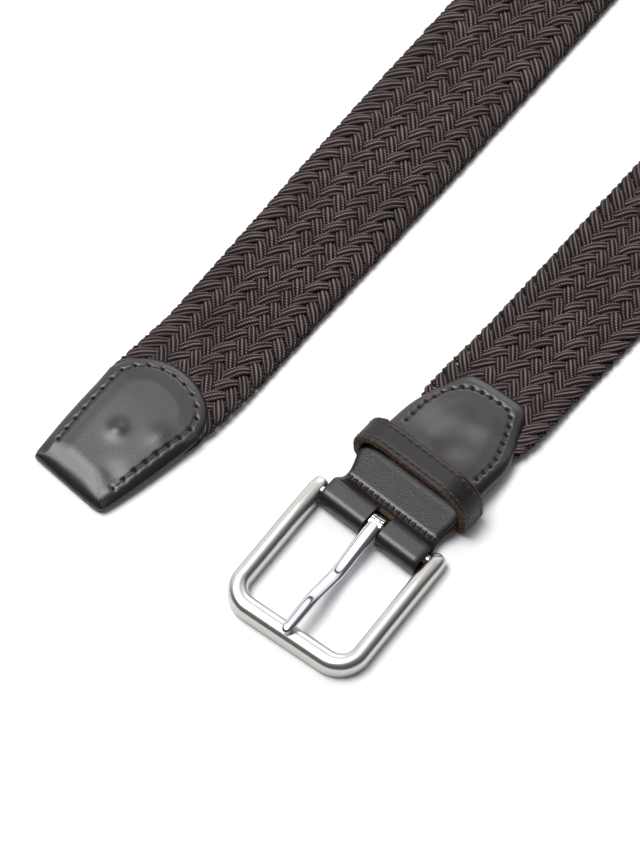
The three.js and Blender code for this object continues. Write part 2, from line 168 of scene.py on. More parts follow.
# Covers: rings of points from the middle to the edge, the roll of the edge, and the raw rim of a slit
INNER_RINGS = 44
LOWER_INNER_RINGS = 6
ROLL_RINGS = 9
RIM_RINGS = 5
ROLL_SMOOTHING = 5
PARTED_DROP = LEATHER_WALL + 0.08
PARTED_SHARE = 0.26
RIM_WIDTH = 2.9
RIM_SLOPE = 0.27
PUFF_ROOM = 0.6

# Stitches, and how they draw the leather down. A thread's size: radius, rise and sink. Its form: share
# that stays free at each end, share of the radius there, and flatness. A plug of near-black painted
# shade
# in each stitch hole has a size: radius and depth
THREAD_SIDES = 6
THREAD_RINGS = 6
THREAD_SIZE = (0.27, 0.08, 0.3)
THREAD_FORM = (0.1, 0.75, 0.8)
PLUG_SIDES = 10
PLUG_SIZE = (0.68, 0.2)
PLUG_SINK = 0.3
PLUG_DOME = 0.12
HOLE_RADIUS = 0.6
HOLE_DEPTH = 0.42
GROOVE_HALF_WIDTH = 0.6
GROOVE_DEPTH = 0.2

# Tip leather, drawn across and along from its folded end. Bumps: height, x, y and size
TIP_LENGTH = 47
TIP_CAP_LENGTH = 14
TIP_CAP_Y = TIP_LENGTH - TIP_CAP_LENGTH
TIP_END_HALF_WIDTH = 12.9
TIP_HALF_WIDTH = 17
TIP_SIDE_LENGTH = 26
TIP_SLIT_LENGTH = 11
TIP_FRONT = [
    (-TIP_END_HALF_WIDTH, 0.0), (-TIP_END_HALF_WIDTH + 0.4, 0.0),
    (-5, 0), (5, 0), (11.6, 0.1), (13.2, 1.6),
]
TIP_SIDES = [(TIP_HALF_WIDTH - 2.1, 12), (TIP_HALF_WIDTH - 0.9, 22)]
TIP_LEFT_CORNER = (-TIP_END_HALF_WIDTH - 0.05, 0.4)
TIP_SPACING = 0.38
TIP_SPINE = (10, 33)
TIP_EDGE_START = 3
TIP_TOP = LEATHER_STACK - 0.28
TIP_PUFF = 0.36
TIP_END_SINK = 0.4
TIP_BUMPS = ((0.65, -1.0, 20.4, 2.6), (0.3, 8.6, 27.2, 3.2), (-0.5, 7.8, 9.3, 3.6))
TIP_TILT_START = 8.2
TIP_TILT = 0.46
TIP_END_DROP = 0.72
TIP_LEAST_ROLL = 0.9
TIP_SIDE_ROLL = 1.5
TIP_CORNER_ROLL = 3.4
TIP_CAP_ROLL = 1.6
TIP_LOWER_END_ROLL = 0.6
TIP_END_ROLL = ((-12.9, -12.2, -9, -3, 2, 6, 9, 12.5), (0.5, 0.9, 2.4, 3.4, 3.8, 3.0, 2.2, 2.4))
TIP_STITCHES = 24
TIP_STITCH_START = 7.2
TIP_STITCH_SPINE = (6, 33)
TIP_LEFT_INSET = 3.2
TIP_RIGHT_INSET = ((8, 14, 24, 30, 34, 38), (3.4, 3.9, 4.1, 3.6, 3.5, 3.1))

# Buckle leather: a strip folded round the hinge bar, and a cover over the braid's end
POUCH_Y = 12.5
POUCH_WIDTH = 34.2
POUCH_SIDE_END_Y = POUCH_Y + 24.5
PATCH_END_Y = POUCH_SIDE_END_Y + 18
PATCH_SLIT_LENGTH = 9
BRAID_FRONT_Y = POUCH_Y - LEATHER_WALL
FOLD_END_Y = 2.5
FOLD_RADIUS = 3.3
FOLD_SLACK = 1.3
FOLD_WIDTH = 34.1
NECK_WIDTH = 32.0
PINCH_Y = 7
RISE_START_Y = PINCH_Y + 0.7
RISE_END_Y = 16.8
STRIP_END_Y = 19.5
STRIP_TUCK = 0.1
STRIP_TUCK_Y = (14.5, 16.5)
STRIP_COLUMNS = (2, 13, 5, 12, 2)
WORN_SHARE = 0.955
WORN_DEPTH = 0.28
SLOT_LEFT = -2.2
SLOT_RIGHT = 3.4
SLOT_BACK_Y = 4.7
COVER_START_Y = 17.5
COVER_SPINE = (COVER_START_Y + 4, 41)
PATCH_CORNERS = (
    (-16.9, COVER_START_Y), (-10, COVER_START_Y), (10, COVER_START_Y), (16.9, COVER_START_Y),
    (17.1, COVER_START_Y + 1), (17.1, 30), (17.1, POUCH_SIDE_END_Y), (14.4, 43.2), (11.9, 48.9),
    (10.2, 53), (8.2, 54.8), (4.5, 55), (-2.5, 54.8), (-7.5, 54.2), (-10.2, 53.2), (-12.2, 50),
    (-14.4, 44), (-16.7, POUCH_SIDE_END_Y), (-17.1, 30), (-17.1, COVER_START_Y + 1),
)
PATCH_SPACING = 0.4
PATCH_TOP = LEATHER_STACK - 0.3
PATCH_PUFF = 0.3
PATCH_FRONT_SINK = 0.25
PATCH_BUMPS = (
    (0.3, -4, 29, 4.2), (-0.3, 2.4, 31, 3.6), (0.2, 6.5, 37, 4), (-0.2, -7, 38, 3.4), (-0.16, 1, 41, 3),
)
PATCH_ROLL = 1.3
PATCH_SIDE_ROLL = 2.2
PATCH_FRONT_ROLL = 0.4
PATCH_STITCH_CORNERS = (
    (13.4, 27.2), (13.5, 34.6), (11.7, 40.2), (9.2, 46.4), (6.6, 50.6), (1.5, 50.8),
    (-3.2, 50.4), (-7.8, 49.2), (-10.2, 46.6), (-12, 43.6), (-13.5, 37.2), (-13.3, 29),
)
PATCH_STITCH_SPACING = 0.3
PATCH_STITCHES = 22

# Cross seam of the fold, whose stitches slant over it unevenly
FOLD_SEED = 23
FOLD_STITCHES = 17
FOLD_STITCH_MARGIN = 0.9
FOLD_STITCH_SLANT = (-0.1, 0.5)
FOLD_SLANT_CHANGE = 0.15
FOLD_STITCH_REACH = (1.0, 1.6)
FOLD_STITCH_RADIUS = (0.38, 0.55)
FOLD_STITCH_RISE = 0.22
FOLD_STITCH_SINK = 0.2
FOLD_PLUG_SIZE = (0.45, 0.1)

# Keeper
KEEPER_WALL = 2.7
KEEPER_LIFT = KEEPER_WALL + GAP
KEEPER_FRONT_Y = 14.2
KEEPER_BAND_WIDTH = 8.1
KEEPER_BACK_Y = KEEPER_FRONT_Y + KEEPER_BAND_WIDTH
KEEPER_SIDE_ROOM = 0.3
KEEPER_ROOM = 5.8
KEEPER_TOP_RADIUS = 10
KEEPER_BOTTOM_RADIUS = 3.6
KEEPER_CORNER_STEPS = 13
KEEPER_SPACING = 0.4
KEEPER_OUTER_EDGE = 0.35
KEEPER_INNER_EDGE = 0.3
KEEPER_SEED = 5
KEEPER_FUZZ = 0.11
KEEPER_GROOVE_DEPTH = 0.2
KEEPER_GROOVE_HALF_WIDTH = 0.5
KEEPER_STITCH_INSET = 1.4
KEEPER_STITCH_PITCH = 2.4
KEEPER_STITCH_SPACING = 0.3
KEEPER_STITCH_FLOOR = 0.6
KEEPER_THREAD_SIZE = (0.24, 0.02, 0.3)
KEEPER_THREAD_FORM = (0.08, 0.8, 1)
KEEPER_THREAD_PROUD = 0.02

# Buckle, drawn from the hinge bar's middle, reaching along -Y
BAR_RADIUS = 1.5
BAR_HEIGHT = FOLD_RADIUS
BAR_SIDES = 24
BUCKLE_YAW = 4
FRAME_HEIGHT = 5.6
FRAME_REACH = 43.4
WINDOW_WIDTH = 34.4
ARM_WIDTH = 5.3
FRONT_BAR_WIDTH = 6.1
FRAME_OUTER_RADIUS = 9.6
FRAME_NOSE_LENGTH = 3.1
FRAME_SLOPE = 0.6
FRAME_CREASE = 0.46
FRAME_FOOT = [(0.4, 0.0), (0.48, 0.03), (0.5, 0.1)]
PRONG_WIDTH = 4
PRONG_THICKNESS = 2.2
PRONG_LENGTH = 42.2
PRONG_DIP = 1.9
PRONG_X = 0.4
PRONG_SIDES = 28
PRONG_SECTIONS = 70
PRONG_TIP_SECTIONS = 8
PRONG_SMOOTHING = 5
PRONG_START = -0.02
PRONG_TIP_START = 0.94
PRONG_TIP_WIDTH = 0.85
EYELET_BORE = BAR_RADIUS + 0.35
EYELET_RADIUS = EYELET_BORE + 1.35
EYELET_HALF_WIDTH = PRONG_WIDTH * 0.55
EYELET_EDGE = 0.3
EYELET_SIDES = 40

# Camera at the photograph's angle
CAMERA_ELEVATION = 61.5
CAMERA_AZIMUTH = 40.5
CAMERA_DISTANCE = 1111.1
CAMERA_TARGET = np.array([-32.6, 15.0, 0.0])
FOCAL_PIXELS = 4000
IMAGE_HEIGHT = 853
SENSOR = 36

# Floor and lights, in metres and watts. Lights: name, direction, size and power
FLOOR_REACH = 3.0
LIGHT_DISTANCE = 1.4
LIGHTS = (("key", (-0.31, -0.2, 0.93), 0.8, 15.0), ("back", (-0.4, 0.68, 0.62), 0.6, 3.0))

# The sky: a wide soft light overhead with a dark margin, and a paler wall behind on the left
OVERHEAD_TOWARD = (-0.31, 0.1, 0.945)
OVERHEAD_TONES = (
    (0.0, (0.06, 0.06, 0.065)),
    (0.96, (1.0, 1.0, 1.0)),
    (0.72, (0.1, 0.1, 0.11)),
    (0.91, (0.12, 0.12, 0.13)),
    (0.94, (0.9, 0.9, 0.9)),
)
WALL_TOWARD = (-0.6, 0.7, 0.38)
WALL_TONES = ((0.35, (0.0, 0.0, 0.0)), (0.8, (0.75, 0.75, 0.78)))
MARGIN_TONES = ((0.83, (1.0, 1.0, 1.0)), (0.87, (0.0, 0.0, 0.0)))
SKY_STRENGTH = 1.55


# Small helpers


def smoothstep(value, start, end):
    share = np.clip((np.asarray(value, float) - start) / (end - start), 0, 1)
    return share * share * (3 - 2 * share)


def fade(value, start, end):
    return 1 - smoothstep(value, start, end)


def mix(a, b, share):
    return a + (b - a) * share


def rounded(values, power):
    """Values from -1 to 1 raised to a power, with their signs kept."""
    return np.sign(values) * np.abs(values) ** power


def heading_vector(degrees):
    angle = np.radians(degrees)
    return np.stack([np.cos(angle), np.sin(angle)], -1)


def unit(vectors):
    return vectors / np.linalg.norm(vectors, axis=-1, keepdims=True)


def circle(sides):
    """Cosines and sines of evenly spaced angles."""
    angle = np.linspace(0, 2 * np.pi, sides, endpoint=False)
    return np.cos(angle), np.sin(angle)


def running_length(line):
    """Length along a line of points, from 0 at its start."""
    return np.concatenate([[0], np.cumsum(np.linalg.norm(np.diff(line, axis=0), axis=1))])


def columns_at(at, length, values):
    return np.column_stack([np.interp(at, length, column) for column in values.T])


def spaced_along(line, count):
    """Evenly spaced points along an open line."""
    length = running_length(line)
    return columns_at(np.linspace(0, length[-1], count), length, line)


def spaced_round(line, spacing, values=None):
    """Evenly spaced points round a closed line, or the values that go with its points."""
    length = running_length(np.vstack([line, line[:1]]))
    at = np.linspace(0, length[-1], int(length[-1] / spacing), endpoint=False)
    values = line if values is None else values
    return columns_at(at, length, np.vstack([values, values[:1]]))


def smoothing_weights(reach):
    weights = np.hanning(2 * reach + 3)[1:-1]
    return weights / weights.sum()


def add_object(name, data):
    made = bpy.data.objects.new(name, data)
    bpy.context.scene.collection.objects.link(made)
    return made


def mesh_object(name, points, faces, materials, uvs=None, kinds=None, sharp=None):
    """A mesh from points in millimetres from the hinge. kinds picks a material for each face."""
    mesh = bpy.data.meshes.new(name)
    mesh.from_pydata(((points + HINGE_ON_FLOOR) * MM).tolist(), [], faces)
    if uvs is not None:
        layer = mesh.uv_layers.new(name="Surface")
        corners = np.zeros(len(mesh.loops), np.int32)
        mesh.loops.foreach_get("vertex_index", corners)
        layer.data.foreach_set("uv", uvs[corners].astype(np.float32).ravel())
    for material in materials:
        mesh.materials.append(material)
    if kinds is not None:
        mesh.polygons.foreach_set("material_index", kinds)
    mesh.polygons.foreach_set("use_smooth", [True] * len(mesh.polygons))
    if uvs is None:
        tidy = bmesh.new()
        tidy.from_mesh(mesh)
        bmesh.ops.remove_doubles(tidy, verts=tidy.verts, dist=WELD_DISTANCE * MM)
        bmesh.ops.recalc_face_normals(tidy, faces=tidy.faces)
        tidy.to_mesh(mesh)
        tidy.free()
    if sharp is not None:
        mesh.set_sharp_from_angle(angle=math.radians(sharp))
    mesh.update()
    return add_object(name, mesh)


def dress(made, body, node):
    """Rides the body and stands for the CAD node, which it hides."""
    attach(made, body)
    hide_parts(node)


def add_thread(name, mesh, node, material):
    """Stitches or the painted shade in their holes, which belong to a piece of leather on the strap."""
    points, faces = mesh
    dress(mesh_object(name, points, faces, [material]), "strap", node)


def ring_faces(rings, count, closed=False):
    """Quads between rings of equal count; closed joins the last ring to the first."""
    spans = rings if closed else rings - 1
    ring = np.arange(spans)[:, None]
    corner = np.arange(count)[None, :]
    here = ring * count
    there = (ring + 1) % rings * count
    after = (corner + 1) % count
    quads = np.stack([here + corner, here + after, there + after, there + corner], -1)
    return quads.reshape(-1, 4).tolist()


def capped_tube(rings):
    """Points and faces of a tube through rings of equal count, closed at both ends."""
    count = len(rings[0])
    last = (len(rings) - 1) * count
    faces = ring_faces(len(rings), count)
    faces.append(list(range(count))[::-1])
    faces.append(list(range(last, last + count)))
    return np.concatenate(rings), faces


def joined(parts):
    """Points and faces of several meshes as one."""
    points, faces, start = [], [], 0
    for part_points, part_faces in parts:
        points.append(part_points)
        faces.extend([[corner + start for corner in face] for face in part_faces])
        start += len(part_points)
    return np.concatenate(points), faces


# Where the belt runs


def route_rows():
    """Length and turn of each stretch from the tip end to the braid's end in the buckle leather."""
    tip_straight = TIP_LENGTH - TIP_CAP_LENGTH / 2
    bend = ARM_HEADING - TIP_HEADING
    bend_radius = TIP_BEND_LENGTH / math.radians(bend)
    start = TIP_END + heading_vector(TIP_HEADING) * tip_straight
    bend_centre = start + heading_vector(TIP_HEADING + 90) * bend_radius
    arm_start = bend_centre + heading_vector(ARM_HEADING - 90) * bend_radius
    tip_arm = heading_vector(ARM_HEADING)
    tip_arm_length = (FLAT_ARM_END_Y + TWIST_LENGTH - arm_start[1]) / tip_arm[1]
    arm_end = arm_start + tip_arm * tip_arm_length
    reach = LOOP_RADIUS + SHOULDER_RADIUS
    first_shoulder = arm_end + heading_vector(ARM_HEADING + 90) * SHOULDER_RADIUS
    centre_x = arm_end[0] / 2
    centre_y = first_shoulder[1] + math.sqrt(reach ** 2 - (centre_x - first_shoulder[0]) ** 2)
    last_shoulder_y = centre_y - math.sqrt(reach ** 2 - (SHOULDER_RADIUS - centre_x) ** 2)
    first_angle = math.degrees(math.atan2(centre_y - first_shoulder[1], centre_x - first_shoulder[0]))
    last_angle = math.degrees(math.atan2(centre_y - last_shoulder_y, centre_x - SHOULDER_RADIUS))
    first_turn = first_angle + 90 - ARM_HEADING
    last_turn = 180 - last_angle
    loop_turn = last_angle - first_angle - 360
    return [
        (tip_straight, 0),
        (TIP_BEND_LENGTH, bend),
        (tip_arm_length, 0),
        (SHOULDER_RADIUS * math.radians(first_turn), first_turn),
        (LOOP_RADIUS * math.radians(-loop_turn), loop_turn),
        (SHOULDER_RADIUS * math.radians(last_turn), last_turn),
        (last_shoulder_y - BRAID_FRONT_Y, 0),
    ]


ROUTE = route_rows()
ROUTE_LENGTH = sum(length for length, turn in ROUTE)


def route_at(distance):
    """Places and headings on the floor at distances along the route."""
    place = np.tile(TIP_END.astype(float), (len(distance), 1))
    heading = np.full(len(distance), float(TIP_HEADING))
    left = distance.copy()
    for length, turn in ROUTE:
        gone = np.clip(left, 0, length)
        turned = turn * gone / length
        half = np.radians(turned) / 2
        chord = gone * np.sinc(half / np.pi)
        place += heading_vector(heading + turned / 2) * chord[:, None]
        heading += turned
        left -= gone
    return place, heading


def leather_base(y):
    """Height of the buckle leather's underside, which the keeper's lower side lifts."""
    rise = smoothstep(y, FOLD_END_Y, KEEPER_FRONT_Y - GAP)
    fall = smoothstep(y, KEEPER_BACK_Y + GAP, KEEPER_BACK_Y + LEATHER_FALL_LENGTH)
    return KEEPER_LIFT * (rise - fall)


def braid_size(distance):
    """Width, thickness and height of the braid's middle at distances from the tip end."""
    buckle_y = BRAID_FRONT_Y + ROUTE_LENGTH - distance
    tip_side = distance < ROUTE_LENGTH / 2
    share = np.clip(np.minimum(distance, TIP_SIDE_LENGTH) / TIP_CAP_Y, 0, 1)
    in_tip = 2 * mix(TIP_END_HALF_WIDTH, TIP_HALF_WIDTH, share)
    inside = np.where(tip_side, in_tip, POUCH_WIDTH) - 2 * BRAID_MARGIN
    in_tip_slit = smoothstep(distance, TIP_SIDE_LENGTH, TIP_SIDE_LENGTH + TIP_SLIT_LENGTH)
    in_patch_slit = smoothstep(buckle_y, POUCH_SIDE_END_Y, POUCH_SIDE_END_Y + PATCH_SLIT_LENGTH)
    end = mix(inside, BRAID_END_WIDTH, np.where(tip_side, in_tip_slit, in_patch_slit))
    beyond = np.where(tip_side, distance - TIP_LENGTH, buckle_y - PATCH_END_Y)
    swell = smoothstep(beyond, 0, BRAID_SWELL_LENGTH)
    release = smoothstep(beyond, 0, BRAID_RELEASE_LENGTH)
    thickness = mix(BRAID_PRESSED_THICKNESS, BRAID_THICKNESS, release)
    base = np.where(tip_side, 0, leather_base(buckle_y))
    middle = base + mix(BRAID_MARGIN, 0, release) + thickness / 2
    return mix(end, BRAID_WIDTH, swell), thickness, middle


def strap_frame(distance):
    """Middle of the strap and the directions out of its face, at distances along the route."""
    place, heading = route_at(distance)
    angle = np.pi / 2 * smoothstep(place[:, 1], FLAT_ARM_END_Y, FLAT_ARM_END_Y + TWIST_LENGTH)
    outward = heading_vector(heading + 90)
    middle = braid_size(distance)[2]
    shift = BRAID_WIDTH / 2 * (1 - np.cos(angle))
    height = BRAID_WIDTH / 2 * np.sin(angle) + middle * np.cos(angle)
    origin = np.column_stack([place + outward * shift[:, None], height])
    face = np.column_stack([outward * np.sin(angle)[:, None], np.cos(angle)])
    return origin, face


GUIDE = np.linspace(BRAID_START, ROUTE_LENGTH - BRAID_HIDDEN_END, GUIDE_SAMPLES)
GUIDE_ORIGIN, GUIDE_FACE = strap_frame(GUIDE)
GUIDE_LENGTH = running_length(GUIDE_ORIGIN)
GUIDE_ALONG = unit(np.gradient(GUIDE_ORIGIN, axis=0))
GUIDE_RIGHT = unit(np.cross(GUIDE_ALONG, GUIDE_FACE))
GUIDE_NORMAL = np.cross(GUIDE_RIGHT, GUIDE_ALONG)
GUIDE_WIDTH, GUIDE_THICKNESS = braid_size(GUIDE)[:2]


def on_guide(values, length):
    """Values of the strap at real lengths along its middle line."""
    length = np.clip(length, 0, GUIDE_LENGTH[-1])
    if values.ndim == 1:
        return np.interp(length, GUIDE_LENGTH, values)
    return columns_at(length, GUIDE_LENGTH, values)


# Materials


def new_material(name, surface):
    """A material with what is needed to shade it further. surface has its even values."""
    material = bpy.data.materials.new(name)
    material.use_nodes = True
    tree = material.node_tree
    sockets = tree.nodes["Principled BSDF"].inputs
    for socket, value in surface.items():
        sockets[socket].default_value = value
    return material, tree.nodes, tree.links, sockets


def grain(nodes, links, scale, detail=2.0):
    """Noise in the object's own coordinates."""
    place = nodes.new("ShaderNodeTexCoord")
    texture = nodes.new("ShaderNodeTexNoise")
    texture.inputs["Scale"].default_value = scale
    texture.inputs["Detail"].default_value = detail
    links.new(place.outputs["Object"], texture.inputs["Vector"])
    return texture.outputs["Fac"]


def ramp(nodes, links, value, stops):
    node = nodes.new("ShaderNodeValToRGB")
    links.new(value, node.inputs["Fac"])
    elements = node.color_ramp.elements
    for index, (place, colour) in enumerate(stops):
        element = elements[index] if index < 2 else elements.new(place)
        element.position = place
        element.color = (*colour, 1)
    return node.outputs["Color"]


def add_bump(nodes, links, sockets, height, distance, strength):
    node = nodes.new("ShaderNodeBump")
    node.inputs["Distance"].default_value = distance
    node.inputs["Strength"].default_value = strength
    links.new(height, node.inputs["Height"])
    links.new(node.outputs["Normal"], sockets["Normal"])


def braid_material():
    """Yarns across the cord as relief, with painted highlights on ridges and twist and painted shade in
    valleys and margins.
    """
    material, nodes, links, sockets = new_material("braid_cord", BRAID_SURFACE)
    surface = nodes.new("ShaderNodeUVMap")
    surface.uv_map = "Surface"
    parts = nodes.new("ShaderNodeSeparateXYZ")
    links.new(surface.outputs["UV"], parts.inputs["Vector"])

    def maths(operation, first, second=0.0, third=0.0):
        node = nodes.new("ShaderNodeMath")
        node.operation = operation
        for socket, value in zip(node.inputs, (first, second, third)):
            if isinstance(value, (int, float)):
                socket.default_value = value
            else:
                links.new(value, socket)
        return node.outputs["Value"]

    along = parts.outputs["X"]
    around = parts.outputs["Y"]
    slant = maths("MULTIPLY", around, TWIST_SLANT)
    turns = maths("MULTIPLY_ADD", along, 1 / TWIST_PITCH, slant)
    twist = maths("SINE", maths("MULTIPLY", turns, 2 * math.pi))
    notch = maths("MULTIPLY_ADD", twist, 0.5, 0.5)
    lobes = maths("COSINE", maths("MULTIPLY", around, 2 * math.pi / LOBE_SPACING))
    ridge = maths("MULTIPLY_ADD", lobes, 0.5, 0.5)
    margin = maths("POWER", maths("ABSOLUTE", around), MARGIN_POWER)
    height = maths("MULTIPLY", ridge, maths("MULTIPLY_ADD", notch, NOTCH_DEPTH, RIDGE_LEVEL))
    height = maths("MULTIPLY_ADD", margin, -MARGIN_DROP_AND_SHADE, height)
    uneven = grain(nodes, links, UNEVEN_SCALE)
    # Painted light: the relief height also colours the cord, lighter on ridges and twist, darker in
    # valleys and margins
    tone_and_painted_light = maths("MULTIPLY_ADD", uneven, UNEVEN_SHARE, maths("MULTIPLY", height, PAINTED_LIGHT_SHARE))
    links.new(ramp(nodes, links, tone_and_painted_light, BRAID_TONES_AND_PAINTED_LIGHT), sockets["Base Color"])
    add_bump(nodes, links, sockets, height, YARN_RELIEF, 1.0)
    return material


def leather_material():
    material, nodes, links, sockets = new_material("satin_leather", LEATHER_SURFACE)
    fine_scale, cloudy_scale = LEATHER_SCALES
    fine = grain(nodes, links, fine_scale, 3.0)
    cloudy = grain(nodes, links, cloudy_scale)
    links.new(ramp(nodes, links, cloudy, LEATHER_TONES), sockets["Base Color"])
    add_bump(nodes, links, sockets, fine, *LEATHER_RELIEF)
    return material


def shade(nodes, links, sockets, colour, fine, shades):
    """Colours a surface from a darker to a lighter share of one colour."""
    stops = [(place, [c * share for c in colour]) for place, share in zip((0.3, 0.7), shades)]
    links.new(ramp(nodes, links, fine, stops), sockets["Base Color"])


def plain_material(name, colour, roughness, scale, distance):
    """A dull material, a little uneven in colour and height."""
    surface = {"Roughness": roughness, "Specular IOR Level": 0.3}
    material, nodes, links, sockets = new_material(name, surface)
    fine = grain(nodes, links, scale, 4.0)
    shade(nodes, links, sockets, colour, fine, PLAIN_SHADES)
    add_bump(nodes, links, sockets, fine, distance, 0.8)
    return material


def metal_material(name, colour, roughness):
    surface = {"Metallic": 1.0, "Roughness": roughness}
    material, nodes, links, sockets = new_material(name, surface)
    shade(nodes, links, sockets, colour, grain(nodes, links, METAL_SCALE), METAL_SHADES)
    return material


# Braid


def strand_across(phase):
    """Place across the braid in columns, from the left edge to the right one and back."""
    from_right = np.abs(phase - RIGHT_EDGE)
    from_left = STRANDS - from_right
    nearest = np.minimum(from_right, from_left)
    near_edge = np.sqrt(nearest ** 2 + EDGE_ROUNDING ** 2)
    blend_end = math.hypot(EDGE_BLEND_STEPS, EDGE_ROUNDING)
    inner = STRANDS / 2 - EDGE_BLEND_STEPS
    stretch = (EDGE_REACH - inner) / (blend_end - EDGE_ROUNDING)
    edge = inner + stretch * (blend_end - near_edge)
    reach = np.where(nearest < EDGE_BLEND_STEPS, edge, STRANDS / 2 - nearest)
    return np.where(from_right < from_left, reach, -reach)


def strand_level(phase):
    """Height in the braid from -1 to 1: over two strands, then under two, and a turn at each edge."""

    def passing(start):
        return np.cos(np.pi * (phase - start) / 2)

    def turning(start):
        return -np.cos(np.pi * (phase - start) / TURN_STEPS)

    turned = RIGHT_TURN_START + TURN_STEPS
    level = np.where(phase < RIGHT_TURN_START, passing(FIRST_PASS_START), turning(RIGHT_TURN_START))
    level = np.where(phase >= turned, passing(turned), level)
    level = np.where(phase >= LEFT_TURN_START, turning(LEFT_TURN_START), level)
    return np.where(phase < FIRST_PASS_START, turning(LEFT_TURN_START - STEPS_PER_PERIOD), level)


def strand_roll(phase):
    """Angle of the cord's flat side, which folds over at each edge."""

    def folded(at, edge):
        return smoothstep(at, edge - FOLDING_STEPS, edge + FOLDING_STEPS)

    wrapped = folded(phase + STEPS_PER_PERIOD, LEFT_EDGE)
    later = folded(phase, RIGHT_EDGE) - folded(phase, LEFT_EDGE)
    return np.pi * (np.where(phase < STRANDS / 2, 1 - wrapped, later) - 0.5)


def cord_section():
    """Half width and half thickness of the cord round its section."""
    top = CORD_SIDE + [(-x, y) for x, y in CORD_SIDE[-2::-1]]
    bottom = [(-x, -y) for x, y in top]
    return np.array([(1.0, 0.0)] + top + [(-1.0, 0.0)] + bottom).T


def strand_mesh(index, waves):
    """Points, faces and UVs of one strand from the tip end to the buckle end."""
    steps = np.arange(0, 2 * GUIDE_LENGTH[-1] / BRAID_PITCH, 1 / SAMPLES_PER_STEP)
    length = steps * BRAID_PITCH / 2
    phase = np.mod(steps + 2 * index, STEPS_PER_PERIOD)
    thickness = on_guide(GUIDE_THICKNESS, length)
    half_thick = STRAND_THICKNESS / 2 * (thickness / BRAID_THICKNESS)
    column = (on_guide(GUIDE_WIDTH, length) / 2 - half_thick) / EDGE_REACH
    wander = sum(
        amount * np.sin(2 * np.pi * (length / period + start)) for amount, period, start in waves
    )
    across = strand_across(phase) * column
    level = strand_level(phase)
    lift = level * (thickness / 2 - half_thick) * (1 - WANDER_OF_LEVEL * np.abs(wander))
    sheared = length + across * BRAID_SHEAR + WANDER_OF_PLACE * wander
    origin = on_guide(GUIDE_ORIGIN, sheared)
    right = on_guide(GUIDE_RIGHT, sheared)
    normal = on_guide(GUIDE_NORMAL, sheared)
    centre = origin + right * across[:, None] + normal * lift[:, None]
    tangent = unit(np.gradient(centre, axis=0))
    roll = strand_roll(phase) + WANDER_OF_ROLL * wander
    out = right * np.cos(roll)[:, None] + normal * np.sin(roll)[:, None]
    out = unit(out - tangent * np.sum(out * tangent, axis=1, keepdims=True))
    side = np.cross(tangent, out)
    within = np.mod(phase, STRANDS)
    from_edge = np.minimum(np.abs(within - RIGHT_EDGE), within + 0.5)
    half_wide = STRAND_WIDTH / 2 * column / COLUMN_WIDTH * (1 + WANDER_OF_WIDTH * wander)
    half_wide = half_wide * (1 - NARROWING * np.exp(-(from_edge / NARROWING_STEPS) ** 2))
    half_wide = half_wide * mix(WIDTH_BETWEEN, WIDTH_ON_TOP, np.abs(level))
    section_x, section_y = cord_section()
    rings = (
        centre[:, None, :]
        + side[:, None, :] * (half_wide[:, None] * section_x)[:, :, None]
        + out[:, None, :] * (half_thick[:, None] * section_y)[:, :, None]
    )
    rings[:, :, 2] = np.maximum(rings[:, :, 2], LEAST_HEIGHT)
    travelled = np.repeat(running_length(centre), len(section_x))
    uvs = np.column_stack([travelled, np.tile(section_x, len(centre))])
    return *capped_tube(rings), uvs


def build_braid(material):
    random = np.random.default_rng(BRAID_SEED)
    groups = [[] for _ in range(STRAND_GROUPS)]
    for index in range(STRANDS):
        waves = [
            (amount, random.uniform(*WANDER_PERIOD) / rate, random.uniform(0, 1))
            for amount, rate in WANDER_WAVES
        ]
        groups[index % STRAND_GROUPS].append(strand_mesh(index, waves))
    for number, strands in enumerate(groups, 1):
        points, faces = joined([strand[:2] for strand in strands])
        uvs = np.concatenate([strand[2] for strand in strands])
        made = mesh_object(f"braid_strands_{number}", points, faces, [material], uvs)
        dress(made, "strap", "braid_band")


# Stitches


def stitched_relief(place, holes):
    """How far the leather is drawn down along a run of stitches and at each of its holes."""
    apart = np.linalg.norm(place[:, None, :] - holes[None, :, :], axis=2)
    hole = np.exp(-(apart.min(axis=1) / HOLE_RADIUS) ** 2)
    start, end = holes[:-1], holes[1:]
    run = end - start
    share = np.einsum("pij,ij->pi", place[:, None, :] - start, run) / (run ** 2).sum(1)
    nearest = start + run * np.clip(share, 0, 1)[:, :, None]
    off = np.linalg.norm(place[:, None, :] - nearest, axis=2).min(axis=1)
    groove = np.exp(-(off / GROOVE_HALF_WIDTH) ** 2)
    return GROOVE_DEPTH * groove + HOLE_DEPTH * hole


def thread_stitch(start, end, side, up, size, form):
    """One short thread, arched along up and sunk at its ends."""
    radius, rise, sink = size
    margin, thinnest, flatness = form
    cosine, sine = circle(THREAD_SIDES)
    share = np.linspace(margin, 1 - margin, THREAD_RINGS)
    arch = np.sin(np.pi * (share - margin) / (1 - 2 * margin))
    thick = radius * mix(thinnest, 1.0, arch)
    centre = mix(start, end, share[:, None]) + up * mix(-sink, rise, arch)[:, None]
    rings = (
        centre[:, None, :]
        + side * (cosine * thick[:, None])[:, :, None]
        + up * (sine * thick[:, None] * flatness)[:, :, None]
    )
    return capped_tube(rings)


def thread_run(holes, size):
    """Stitches from hole to hole."""
    parts = []
    for start, end in zip(holes[:-1], holes[1:]):
        along = unit(end - start)
        side = unit(np.cross(along, [0, 0, 1]))
        up = np.cross(side, along)
        parts.append(thread_stitch(start, end, side, up, size, THREAD_FORM))
    return joined(parts)


